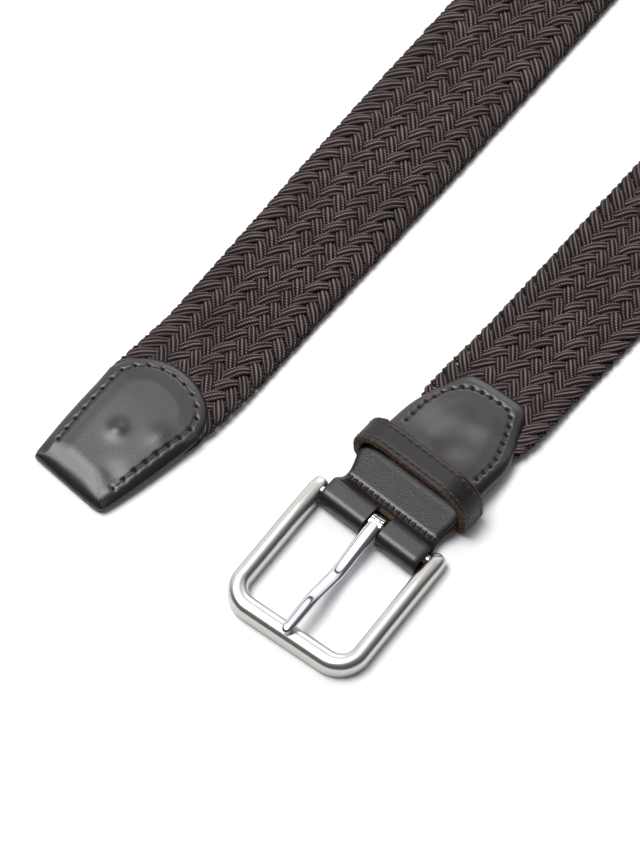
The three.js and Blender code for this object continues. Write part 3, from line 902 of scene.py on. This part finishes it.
def keeper_stitches(line, out, row_y):
    """Stitches that follow the keeper round, in a row at one place along the belt."""
    parts = []
    side = np.array([0, 1, 0])
    places = np.column_stack([line[:, 0], np.full(len(line), row_y), line[:, 1]])
    for start, end, here, there in zip(places[:-1], places[1:], out[:-1], out[1:]):
        if max(start[2], end[2]) < KEEPER_STITCH_FLOOR:
            continue
        outward = unit(here + there)
        up = np.array([outward[0], 0, outward[1]])
        parts.append(thread_stitch(start, end, side, up, KEEPER_THREAD_SIZE, KEEPER_THREAD_FORM))
    return joined(parts)


def hole_shade_plugs(holes, size):
    """Near-black plugs of painted shade that close each stitch hole just below the leather."""
    radius, depth = size
    cosine, sine = circle(PLUG_SIDES)
    rim = np.column_stack([cosine, sine, np.zeros(PLUG_SIDES)])
    levels = ((0.8, -depth - PLUG_SINK), (1.0, -depth), (0.7, PLUG_DOME - depth))
    return joined([
        capped_tube([hole + rim * radius * grow + [0, 0, level] for grow, level in levels])
        for hole in holes
    ])


# Leather covers: an upper and a lower shell that meet along the folded sides


def resample(corners, spacing, rounds):
    """Evenly spaced points round a closed outline whose corners are cut back some rounds."""
    line = np.asarray(corners, float)
    for _ in range(rounds):
        ahead = np.roll(line, -1, axis=0)
        line = np.stack([mix(line, ahead, 0.25), mix(line, ahead, 0.75)], 1).reshape(-1, 2)
    return spaced_round(line, spacing)


def smoothed_round(values, reach):
    """Values round a closed line, each blended with its neighbours."""
    weights = smoothing_weights(reach)
    wrapped = np.concatenate([values[-reach:], values, values[:reach]])
    return np.column_stack([np.convolve(column, weights, "valid") for column in wrapped.T])


def cover_shell(outline, spine, shape, upper):
    """One shell of a folded cover, with the material of each face.

    shape tells how far the edge rolls in and drops, and the heights of the top and the base.
    """
    ahead = np.roll(outline, -2, axis=0) - np.roll(outline, 2, axis=0)
    inward = unit(np.column_stack([-ahead[:, 1], ahead[:, 0]]))
    target = np.column_stack([np.zeros(len(outline)), np.clip(outline[:, 1], *spine)])
    rolled = smoothed_round(inward * shape["roll"](outline, upper)[:, None], ROLL_SMOOTHING)
    drop = shape["drop"](outline, upper)
    parted = drop < LEATHER_STACK * PARTED_SHARE
    if upper:
        drop = np.where(parted, drop, drop - (LEATHER_STACK - shape["top"](outline)))
    inner_drop = np.maximum(drop - LEATHER_WALL, 0)
    rings = []

    def add_ring(turn, sunk, thinner, share=0.0):
        edge = outline + rolled * (1 - math.sin(turn)) + inward * thinner
        place = mix(edge, target, share)
        height = shape["top"](place) if upper else LEATHER_STACK
        height = height - thinner - sunk * (1 - math.cos(turn))
        level = height if upper else LEATHER_STACK - height
        rings.append(np.column_stack([place, shape["base"](place) + level]))

    for share in np.linspace(1, 0, INNER_RINGS if upper else LOWER_INNER_RINGS, endpoint=False):
        add_ring(0, drop, 0, share)
    for turn in np.linspace(0, np.pi / 2, ROLL_RINGS):
        add_ring(turn, drop, 0)
    rim = len(rings) - 1
    for turn in np.linspace(np.pi / 2, 0, RIM_RINGS):
        add_ring(turn, inner_drop, LEATHER_WALL)
    add_ring(0, drop, LEATHER_WALL, 1)
    kinds = np.zeros((len(rings) - 1, len(outline)), int)
    kinds[rim] = parted
    return np.concatenate(rings), ring_faces(len(rings), len(outline)), kinds.ravel().tolist()


def cover_top(place, holes, edge, level, bumps, broad):
    """Height of a cover's top. broad gives its wide forms from the distance to the edge and y."""
    x, y = place.T
    from_edge = np.linalg.norm(place[:, None, :] - edge[None, :, :], axis=2).min(axis=1)
    height = level - stitched_relief(place, holes) + broad(from_edge, y)
    height = height - RIM_SLOPE * np.maximum(RIM_WIDTH - from_edge, 0)
    for rise, bump_x, bump_y, size in bumps:
        height = height + rise * np.exp(-((x - bump_x) ** 2 + (y - bump_y) ** 2) / size ** 2)
    return np.minimum(height, LEATHER_STACK + PUFF_ROOM)


def build_cover(node, thread_name, outline, spine, shape, holes, place, finishes):
    """Both shells of a cover with its stitches and the painted shade in their holes. place puts points
    on the belt.
    """
    leather, raw, thread, shadow = finishes
    for half, upper in (("upper", True), ("lower", False)):
        points, faces, kinds = cover_shell(outline, spine, shape, upper)
        made = mesh_object(f"{node}_{half}", place(points), faces, [leather, raw], kinds=kinds)
        dress(made, "strap", node)
    level = shape["top"](holes) + shape["base"](holes) + HOLE_DEPTH
    at = np.column_stack([holes, level])
    points, faces = thread_run(at, THREAD_SIZE)
    add_thread(f"{thread_name}_stitches", (place(points), faces), node, thread)
    # Near-black plugs of painted shade in the stitch holes
    points, faces = hole_shade_plugs(at, PLUG_SIZE)
    add_thread(f"{thread_name}_stitch_holes", (place(points), faces), node, shadow)


# Tip leather


def in_tip(points):
    right = heading_vector(TIP_HEADING - 90)
    along = heading_vector(TIP_HEADING)
    flat = TIP_END + points[:, :1] * right + points[:, 1:2] * along
    return np.column_stack([flat, points[:, 2]])


def tip_outline():
    angle = np.linspace(0, np.pi, 25)
    cap = np.column_stack([TIP_HALF_WIDTH * np.cos(angle), TIP_CAP_Y + TIP_CAP_LENGTH * np.sin(angle)])
    left_sides = [(-x, y) for x, y in TIP_SIDES[::-1]] + [TIP_LEFT_CORNER]
    return resample(TIP_FRONT + TIP_SIDES + cap.tolist() + left_sides, TIP_SPACING, 2)


def tip_holes(outline):
    """Stitch holes in a U inside the outline, from its right side over the cap to its left side."""
    after = outline[:, 1] > TIP_STITCH_START
    first = np.argmax((outline[:, 0] > 0) & after)
    line = np.roll(outline, -first, axis=0)
    line = line[line[:, 1] > TIP_STITCH_START]
    x, y = line.T
    inset = mix(TIP_LEFT_INSET, np.interp(y, *TIP_RIGHT_INSET), smoothstep(x, 3, 8))
    target = np.column_stack([np.zeros(len(line)), np.clip(y, *TIP_STITCH_SPINE)])
    return spaced_along(line + unit(target - line) * inset[:, None], TIP_STITCHES)


def tip_shape(holes, outline):
    edge = outline[outline[:, 1] > TIP_EDGE_START]

    def at_end(place):
        return fade(place[:, 1], 0.1, 1.5)

    def roll(place, upper):
        x, y = place.T
        swelling = TIP_SIDE_ROLL + smoothstep(x, 4, 12)
        side = TIP_LEAST_ROLL + swelling * smoothstep(y, 1, 8) * fade(y, 28, 34)
        side = side + TIP_CORNER_ROLL * smoothstep(x, 9, 12) * fade(y, 1, 13)
        side = np.where(y > TIP_CAP_Y, TIP_CAP_ROLL, side)
        end_roll = np.interp(x, *TIP_END_ROLL) if upper else TIP_LOWER_END_ROLL
        return mix(side, end_roll, at_end(place))

    def drop(place, upper):
        parted = smoothstep(place[:, 1], TIP_SIDE_LENGTH, TIP_SIDE_LENGTH + TIP_SLIT_LENGTH)
        meeting = mix(0.5, TIP_END_DROP, at_end(place)) * LEATHER_STACK
        return mix(meeting if upper else LEATHER_STACK - meeting, PARTED_DROP, parted)

    def broad(from_edge, y):
        puff = TIP_PUFF * smoothstep(from_edge, 3.6, 8.5) * smoothstep(y, 4, 9)
        tilted = np.maximum(TIP_TILT_START - y, 0)
        return puff - TIP_END_SINK * fade(y, 8, 32) - TIP_TILT * tilted ** 2 / (2 * TIP_TILT_START)

    def top(place):
        return cover_top(place, holes, edge, TIP_TOP, TIP_BUMPS, broad)

    def base(place):
        return np.zeros(len(place))

    return {"roll": roll, "drop": drop, "top": top, "base": base}


def build_tip(finishes):
    outline = tip_outline()
    holes = tip_holes(outline)
    shape = tip_shape(holes, outline)
    build_cover("tip_leather", "tip", outline, TIP_SPINE, shape, holes, in_tip, finishes)


# Buckle leather


def strip_height(y):
    seam = 2 * FOLD_WALL + GAP
    to_seam = smoothstep(y, FOLD_END_Y, PINCH_Y)
    to_pouch = smoothstep(y, PINCH_Y, POUCH_Y)
    return mix(mix(2 * FOLD_RADIUS, seam, to_seam), LEATHER_STACK, to_pouch)


def strip_profile():
    """The strip's outer line from the bottom's back end round the fold to the top's back end."""
    y = np.linspace(STRIP_END_Y, -FOLD_SLACK, 46)
    bottom = np.column_stack([y, leather_base(y) + STRIP_TUCK * smoothstep(y, *STRIP_TUCK_Y)])
    angle = np.linspace(-np.pi / 2, -np.pi * 1.5, 26)[1:-1]
    fold = np.column_stack([
        -FOLD_SLACK + FOLD_RADIUS * np.cos(angle), FOLD_RADIUS + FOLD_RADIUS * np.sin(angle),
    ])
    y = y[::-1]
    seam_top = leather_base(PINCH_Y) + strip_height(PINCH_Y)
    risen = np.clip((y - RISE_START_Y) / (RISE_END_Y - RISE_START_Y), 0, 1)
    late = mix(seam_top, KEEPER_LIFT + LEATHER_STACK, risen)
    level = np.where(y < PINCH_Y, leather_base(y) + strip_height(y), late)
    top = np.column_stack([y, level - STRIP_TUCK * smoothstep(y, *STRIP_TUCK_Y)])
    return np.concatenate([bottom, fold, top])


def strip_columns():
    """Places across the strip as shares of its half width, closest at its worn edges."""
    half = FOLD_WIDTH / 2
    stops = (-1, -WORN_SHARE, SLOT_LEFT / half, SLOT_RIGHT / half, WORN_SHARE, 1)
    spans = [
        np.linspace(start, end, count, endpoint=False)
        for start, end, count in zip(stops[:-1], stops[1:], STRIP_COLUMNS)
    ]
    return np.concatenate(spans + [[1]])


def sheet_solid(outer, inner, solid):
    """A closed sheet between two grids of points, with the cells that solid leaves out cut away."""
    rows, columns = solid.shape
    stride = columns + 1
    count = (rows + 1) * stride
    points = np.concatenate([outer.reshape(-1, 3), inner.reshape(-1, 3)])
    faces, kinds = [], []
    padded = np.pad(solid, 1)
    for row, column in zip(*np.nonzero(solid)):
        corner = row * stride + column
        loop = [corner, corner + 1, corner + stride + 1, corner + stride]
        faces += [loop, [index + count for index in loop[::-1]]]
        kinds += [0, 1]
        around = (
            (padded[row, column + 1], loop[0], loop[1]),
            (padded[row + 1, column + 2], loop[1], loop[2]),
            (padded[row + 2, column + 1], loop[2], loop[3]),
            (padded[row + 1, column], loop[3], loop[0]),
        )
        for filled, start, end in around:
            if not filled:
                faces.append([end, start, start + count, end + count])
                kinds.append(1)
    return points, faces, kinds


def build_strip(finishes):
    leather, raw, thread, shadow = finishes
    line = strip_profile()
    direction = unit(np.gradient(line, axis=0))
    outward = np.column_stack([-direction[:, 1], direction[:, 0]])
    y = line[:, 0]
    neck = mix(FOLD_WIDTH, NECK_WIDTH, smoothstep(y, FOLD_END_Y, PINCH_Y))
    width = mix(neck, POUCH_WIDTH, smoothstep(y, PINCH_Y + 1, POUCH_Y + 1))
    columns = strip_columns()
    grids = []
    for profile, sign in ((line, -1), (line - outward * FOLD_WALL, 1)):
        x = columns[None, :] * width[:, None] / 2
        worn = WORN_DEPTH * smoothstep(np.abs(columns), WORN_SHARE, 1)[None, :] * sign
        moved = profile[:, None, :] + outward[:, None, :] * worn[:, :, None]
        grids.append(np.dstack([x, moved[:, :, 0], moved[:, :, 1]]))
    middle_y = (y[1:] + y[:-1]) / 2
    middle_x = (columns[1:] + columns[:-1]) / 2 * FOLD_WIDTH / 2
    over_slot = (middle_x > SLOT_LEFT) & (middle_x < SLOT_RIGHT)
    in_slot = (middle_y < SLOT_BACK_Y)[:, None] & over_slot[None, :]
    points, faces, kinds = sheet_solid(*grids, ~in_slot)
    made = mesh_object("buckle_leather_fold", points, faces, [leather, raw], kinds=kinds, sharp=45)
    dress(made, "strap", "buckle_leather")
    reach = NECK_WIDTH / 2 - FOLD_STITCH_MARGIN
    level = leather_base(PINCH_Y) + strip_height(PINCH_Y)
    holes = np.array([(x, PINCH_Y, level) for x in np.linspace(-reach, reach, FOLD_STITCHES)])
    random = np.random.default_rng(FOLD_SEED)
    lean, slope = FOLD_STITCH_SLANT
    crossing = []
    for hole in holes[:-1]:
        slant = np.array([lean, slope + random.uniform(-FOLD_SLANT_CHANGE, FOLD_SLANT_CHANGE), 0])
        ends = np.array([hole - slant, hole + slant + [random.uniform(*FOLD_STITCH_REACH), 0, 0]])
        size = (random.uniform(*FOLD_STITCH_RADIUS), FOLD_STITCH_RISE, FOLD_STITCH_SINK)
        crossing.append(thread_run(ends, size))
    add_thread("fold_stitches", joined(crossing), "buckle_leather", thread)
    # Near-black plugs of painted shade in the fold's stitch holes
    add_thread("fold_stitch_holes", hole_shade_plugs(holes, FOLD_PLUG_SIZE), "buckle_leather", shadow)


def patch_shape(holes, outline):
    edge = outline[outline[:, 1] > COVER_START_Y + 2]

    def roll(place, upper):
        y = place[:, 1]
        side = PATCH_SIDE_ROLL * fade(y, POUCH_SIDE_END_Y - 6, POUCH_SIDE_END_Y + 3) + PATCH_ROLL
        return np.where(y < COVER_START_Y + 0.5, PATCH_FRONT_ROLL, side)

    def drop(place, upper):
        parted = smoothstep(place[:, 1], POUCH_SIDE_END_Y, POUCH_SIDE_END_Y + PATCH_SLIT_LENGTH)
        return mix(LEATHER_STACK / 2, PARTED_DROP, parted)

    def broad(from_edge, y):
        puff = PATCH_PUFF * smoothstep(from_edge, 4, 9) * fade(y, 44, 50)
        return puff - PATCH_FRONT_SINK * fade(y, 20, 32)

    def top(place):
        return cover_top(place, holes, edge, PATCH_TOP, PATCH_BUMPS, broad)

    def base(place):
        return leather_base(place[:, 1])

    return {"roll": roll, "drop": drop, "top": top, "base": base}


def build_patch(finishes):
    outline = resample(PATCH_CORNERS, PATCH_SPACING, 2)
    line = resample(PATCH_STITCH_CORNERS, PATCH_STITCH_SPACING, 0)
    last = np.argmin(np.linalg.norm(line - PATCH_STITCH_CORNERS[-1], axis=1))
    holes = spaced_along(line[: last + 1], PATCH_STITCHES)
    shape = patch_shape(holes, outline)
    build_cover("buckle_leather", "patch", outline, COVER_SPINE, shape, holes, np.asarray, finishes)


# Keeper


def keeper_path(inset, spacing):
    """Closed line round the keeper in (x, z), moved inward from its outer face, and the way out."""
    half = POUCH_WIDTH / 2 + KEEPER_SIDE_ROOM + KEEPER_WALL
    top = KEEPER_LIFT + LEATHER_STACK + KEEPER_ROOM + KEEPER_WALL
    low, high = KEEPER_BOTTOM_RADIUS, KEEPER_TOP_RADIUS
    corners = (
        (half - low, low, low, -90),
        (half - high, top - high, high, 0),
        (-half + high, top - high, high, 90),
        (-half + low, low, low, 180),
    )
    line, outward = [], []
    for x, z, radius, start in corners:
        for angle in np.linspace(start, start + 90, KEEPER_CORNER_STEPS):
            direction = heading_vector(angle)
            line.append([x, z] + radius * direction)
            outward.append(direction)
    line, outward = np.array(line), np.array(outward)
    out = unit(spaced_round(line, spacing, outward))
    return spaced_round(line, spacing) - out * inset, out


def keeper_section():
    """Section of the band as (y, depth), and how many of its points are on the outer face."""
    band, wall = KEEPER_BAND_WIDTH, KEEPER_WALL
    groove, half = KEEPER_STITCH_INSET, KEEPER_GROOVE_HALF_WIDTH
    face = [
        (KEEPER_OUTER_EDGE, 0), (groove - half, 0), (groove, KEEPER_GROOVE_DEPTH),
        (groove + half, 0), (groove + 2 * half, 0),
    ]
    face += [(band / 2, 0)] + [(band - y, depth) for y, depth in face[::-1]]
    inner = wall - KEEPER_INNER_EDGE
    back = [(band, KEEPER_OUTER_EDGE), (band, wall / 2), (band, inner)]
    inside = [(band - KEEPER_INNER_EDGE, wall), (KEEPER_INNER_EDGE, wall)]
    front = [(0, depth) for depth in np.linspace(inner, KEEPER_OUTER_EDGE, 6)]
    return np.array(face + back + inside + front), len(face)


def build_keeper(leather, raw, thread):
    place, out = keeper_path(0, KEEPER_SPACING)
    section, face_count = keeper_section()
    corner = np.arange(len(section))
    random = np.random.default_rng(KEEPER_SEED)
    fuzz = random.normal(0, KEEPER_FUZZ, (len(place), len(section)))
    y = KEEPER_FRONT_Y + section[None, :, 0] + fuzz * (corner >= face_count)
    depth = section[None, :, 1]
    x = place[:, :1] - out[:, :1] * depth
    z = place[:, 1:] - out[:, 1:] * depth
    points = np.dstack([x, y, np.maximum(z, 0)]).reshape(-1, 3)
    faces = ring_faces(len(place), len(section), closed=True)
    kinds = np.tile(corner >= face_count - 1, len(place)).astype(int).tolist()
    made = mesh_object("keeper_band", points, faces, [leather, raw], kinds=kinds, sharp=60)
    dress(made, "strap", "keeper")
    line, line_out = keeper_path(-KEEPER_THREAD_PROUD, KEEPER_STITCH_SPACING)
    count = int(len(line) * KEEPER_STITCH_SPACING / KEEPER_STITCH_PITCH)
    index = np.append(np.linspace(0, len(line), count, endpoint=False).astype(int), 0)
    rows = (KEEPER_FRONT_Y + KEEPER_STITCH_INSET, KEEPER_BACK_Y - KEEPER_STITCH_INSET)
    stitches = joined([keeper_stitches(line[index], line_out[index], row_y) for row_y in rows])
    add_thread("keeper_stitches", stitches, "keeper", thread)


# Buckle


def in_buckle(points):
    yaw = math.radians(BUCKLE_YAW)
    x = points[:, 0] * math.cos(yaw) - points[:, 1] * math.sin(yaw)
    y = points[:, 0] * math.sin(yaw) + points[:, 1] * math.cos(yaw)
    return np.column_stack([x, y, points[:, 2] + BAR_HEIGHT])


def frame_section():
    """Frame section from its inner foot over the dome to its outer foot: out and up shares."""
    dome = np.linspace(0, np.pi, 15)
    crown = FRAME_CREASE + (1 - FRAME_CREASE) * np.sin(dome) ** 0.7
    top = np.column_stack([-0.5 * rounded(np.cos(dome), 0.9), crown])
    foot_in = [(-x, up) for x, up in FRAME_FOOT]
    return np.array(foot_in + top.tolist() + FRAME_FOOT[::-1])


def frame_stations():
    """Place, direction, width and share of full size of each section from a nose to the middle."""
    side = WINDOW_WIDTH / 2 + ARM_WIDTH / 2
    front = -FRAME_REACH + FRONT_BAR_WIDTH / 2
    radius = FRAME_OUTER_RADIUS - (ARM_WIDTH + FRONT_BAR_WIDTH) / 4
    rows = []
    for angle in np.radians(np.linspace(3, 90, 13)):
        back = math.cos(angle) ** 0.8
        blunt = math.sin(angle) ** 0.4
        rows.append((side, mix(-1.5, 1.1 * FRAME_NOSE_LENGTH, back), 0, ARM_WIDTH, blunt))
    for y in np.linspace(-1.2 * FRAME_NOSE_LENGTH, front + radius + 1, 12):
        rows.append((side, y, 0, ARM_WIDTH, 1))
    for angle in np.linspace(0, 90, 19):
        x, y = radius * heading_vector(-angle)
        width = mix(ARM_WIDTH, FRONT_BAR_WIDTH, angle / 90)
        rows.append((side - radius + x, front + radius + y, angle, width, 1))
    for x in np.linspace(side - radius, 0, 8)[1:]:
        rows.append((x, front, 90, FRONT_BAR_WIDTH, 1))
    return rows


def build_frame(satin):
    section = frame_section()
    rows = frame_stations()
    mirrored = [(-x, y, 180 - angle, width, size) for x, y, angle, width, size in rows[-2::-1]]
    rim = []
    for x, y, angle, width, size in rows + mirrored:
        out = heading_vector(-angle)
        drop = FRAME_SLOPE * smoothstep(y, -3 * FRAME_NOSE_LENGTH, FRAME_NOSE_LENGTH)
        reach = section[:, 0] * width * size
        up = -BAR_HEIGHT + (FRAME_HEIGHT - drop) * (0.5 + (section[:, 1] - 0.5) * size)
        rim.append(np.column_stack([x + out[0] * reach, y + out[1] * reach, up]))
    cosine, sine = circle(BAR_SIDES)
    end = WINDOW_WIDTH / 2 + 1
    bar = [
        np.column_stack([np.full(BAR_SIDES, x), BAR_RADIUS * cosine, BAR_RADIUS * sine])
        for x in (-end, end)
    ]
    points, faces = joined([capped_tube(rim), capped_tube(bar)])
    made = mesh_object("buckle_frame_satin", in_buckle(points), faces, [satin], sharp=30)
    dress(made, "buckle", "buckle_frame")


def prong_rows():
    """Share along the prong, height of its middle, and shares of its width and thickness."""
    root = EYELET_RADIUS - PRONG_THICKNESS / 2
    rest = FRAME_HEIGHT + GAP + PRONG_THICKNESS / 2 - BAR_HEIGHT
    place, heights, widths = np.array([
        (PRONG_START, root, 1.1), (0.06, root, 1.1), (0.43, root - PRONG_DIP, 1.0),
        (0.7, rest + 0.15, 0.94), (PRONG_TIP_START, rest, PRONG_TIP_WIDTH),
    ]).T
    along = np.linspace(PRONG_START, PRONG_TIP_START, PRONG_SECTIONS)
    rows = []
    for values in (heights, widths):
        row = np.interp(along, place, values)
        smooth = np.convolve(row, smoothing_weights(PRONG_SMOOTHING), "valid")
        rows.append(np.concatenate([row[:PRONG_SMOOTHING], smooth, row[-PRONG_SMOOTHING:]]))
    height, width = rows
    tip = np.linspace(0, np.pi / 2, PRONG_TIP_SECTIONS + 1)[1:]
    close = np.maximum(np.cos(tip), 0.03)
    return np.column_stack([
        np.concatenate([along, PRONG_TIP_START + (1 - PRONG_TIP_START) * np.sin(tip)]),
        np.concatenate([height, np.full(PRONG_TIP_SECTIONS, height[-1])]),
        np.concatenate([width, PRONG_TIP_WIDTH * close ** 0.8]),
        np.concatenate([np.ones(PRONG_SECTIONS), close ** 0.7]),
    ])


def build_prong(polished):
    cosine, sine = circle(PRONG_SIDES)
    side = rounded(cosine, 0.75) * PRONG_WIDTH / 2
    up = rounded(sine, 0.9) * PRONG_THICKNESS / 2
    shank = capped_tube([
        np.column_stack([
            PRONG_X + side * width, np.full(PRONG_SIDES, -PRONG_LENGTH * along), height + up * thickness,
        ])
        for along, height, width, thickness in prong_rows()
    ])
    half, bore, outer, edge = EYELET_HALF_WIDTH, EYELET_BORE, EYELET_RADIUS, EYELET_EDGE
    x, radius = np.array([
        (-half, bore), (-half, outer - edge), (-half + edge, outer), (-0.75, outer),
        (-0.6, outer - 0.12), (-0.45, outer), (half - edge, outer), (half, outer - edge), (half, bore),
    ]).T
    eyelet = np.concatenate([
        np.column_stack([PRONG_X + x, radius * cosine, radius * sine])
        for cosine, sine in zip(*circle(EYELET_SIDES))
    ])
    points, faces = joined([shank, (eyelet, ring_faces(EYELET_SIDES, len(x), closed=True))])
    made = mesh_object("buckle_prong", in_buckle(points), faces, [polished], sharp=35)
    dress(made, "prong", "prong")


# Camera, floor, lights and sky


def build_camera():
    data = bpy.data.cameras.new("camera")
    data.sensor_width = SENSOR
    data.lens = FOCAL_PIXELS * SENSOR / IMAGE_HEIGHT
    data.clip_start = 0.05
    data.clip_end = 20
    camera = add_object("camera", data)
    azimuth = math.radians(CAMERA_AZIMUTH)
    elevation = math.radians(CAMERA_ELEVATION)
    back = np.array([
        math.sin(azimuth) * math.cos(elevation),
        -math.cos(azimuth) * math.cos(elevation),
        math.sin(elevation),
    ])
    camera.location = ((CAMERA_TARGET + HINGE_ON_FLOOR + back * CAMERA_DISTANCE) * MM).tolist()
    camera.rotation_euler = (math.pi / 2 - elevation, 0, azimuth)
    bpy.context.scene.camera = camera


def build_floor():
    mesh = bpy.data.meshes.new("floor")
    signs = ((-1, -1), (1, -1), (1, 1), (-1, 1))
    corners = [(x * FLOOR_REACH, y * FLOOR_REACH, 0) for x, y in signs]
    mesh.from_pydata(corners, [], [(0, 1, 2, 3)])
    mesh.materials.append(new_material("pale_floor", FLOOR_SURFACE)[0])
    add_object("floor", mesh)


def build_light(name, direction, size, power):
    data = bpy.data.lights.new(name, "AREA")
    data.shape = "DISK"
    data.size = size
    data.energy = power
    light = add_object(name, data)
    toward = unit(np.array(direction, float))
    light.location = (toward * LIGHT_DISTANCE).tolist()
    horizontal = math.hypot(toward[0], toward[1])
    light.rotation_euler = (math.atan2(horizontal, toward[2]), 0, math.atan2(toward[0], -toward[1]))


def build_sky():
    world = bpy.data.worlds.new("studio")
    world.use_nodes = True
    bpy.context.scene.world = world
    nodes, links = world.node_tree.nodes, world.node_tree.links
    direction = nodes.new("ShaderNodeTexCoord")

    def sky_tones(aim, tones):
        toward = nodes.new("ShaderNodeVectorMath")
        toward.operation = "DOT_PRODUCT"
        toward.inputs[1].default_value = aim
        links.new(direction.outputs["Generated"], toward.inputs[0])
        return ramp(nodes, links, toward.outputs["Value"], tones)

    together = nodes.new("ShaderNodeVectorMath")
    together.operation = "MULTIPLY_ADD"
    links.new(sky_tones(WALL_TOWARD, WALL_TONES), together.inputs[0])
    links.new(sky_tones(OVERHEAD_TOWARD, MARGIN_TONES), together.inputs[1])
    links.new(sky_tones(OVERHEAD_TOWARD, OVERHEAD_TONES), together.inputs[2])
    links.new(together.outputs["Vector"], nodes["Background"].inputs["Color"])
    nodes["Background"].inputs["Strength"].default_value = SKY_STRENGTH
    bpy.context.scene.view_settings.view_transform = "Standard"


build_camera()
build_floor()
for light_row in LIGHTS:
    build_light(*light_row)
build_sky()
satin_leather = leather_material()
matte_leather, raw_leather, dark_thread, stitch_shadow = [
    plain_material(name, *finish) for name, finish in PLAIN_FINISHES.items()
]
soft_finishes = (satin_leather, raw_leather, dark_thread, stitch_shadow)
build_braid(braid_material())
build_tip(soft_finishes)
build_strip(soft_finishes)
build_patch(soft_finishes)
build_keeper(matte_leather, raw_leather, dark_thread)
build_frame(metal_material("satin_nickel", *SATIN_NICKEL))
build_prong(metal_material("polished_nickel", *POLISHED_NICKEL))
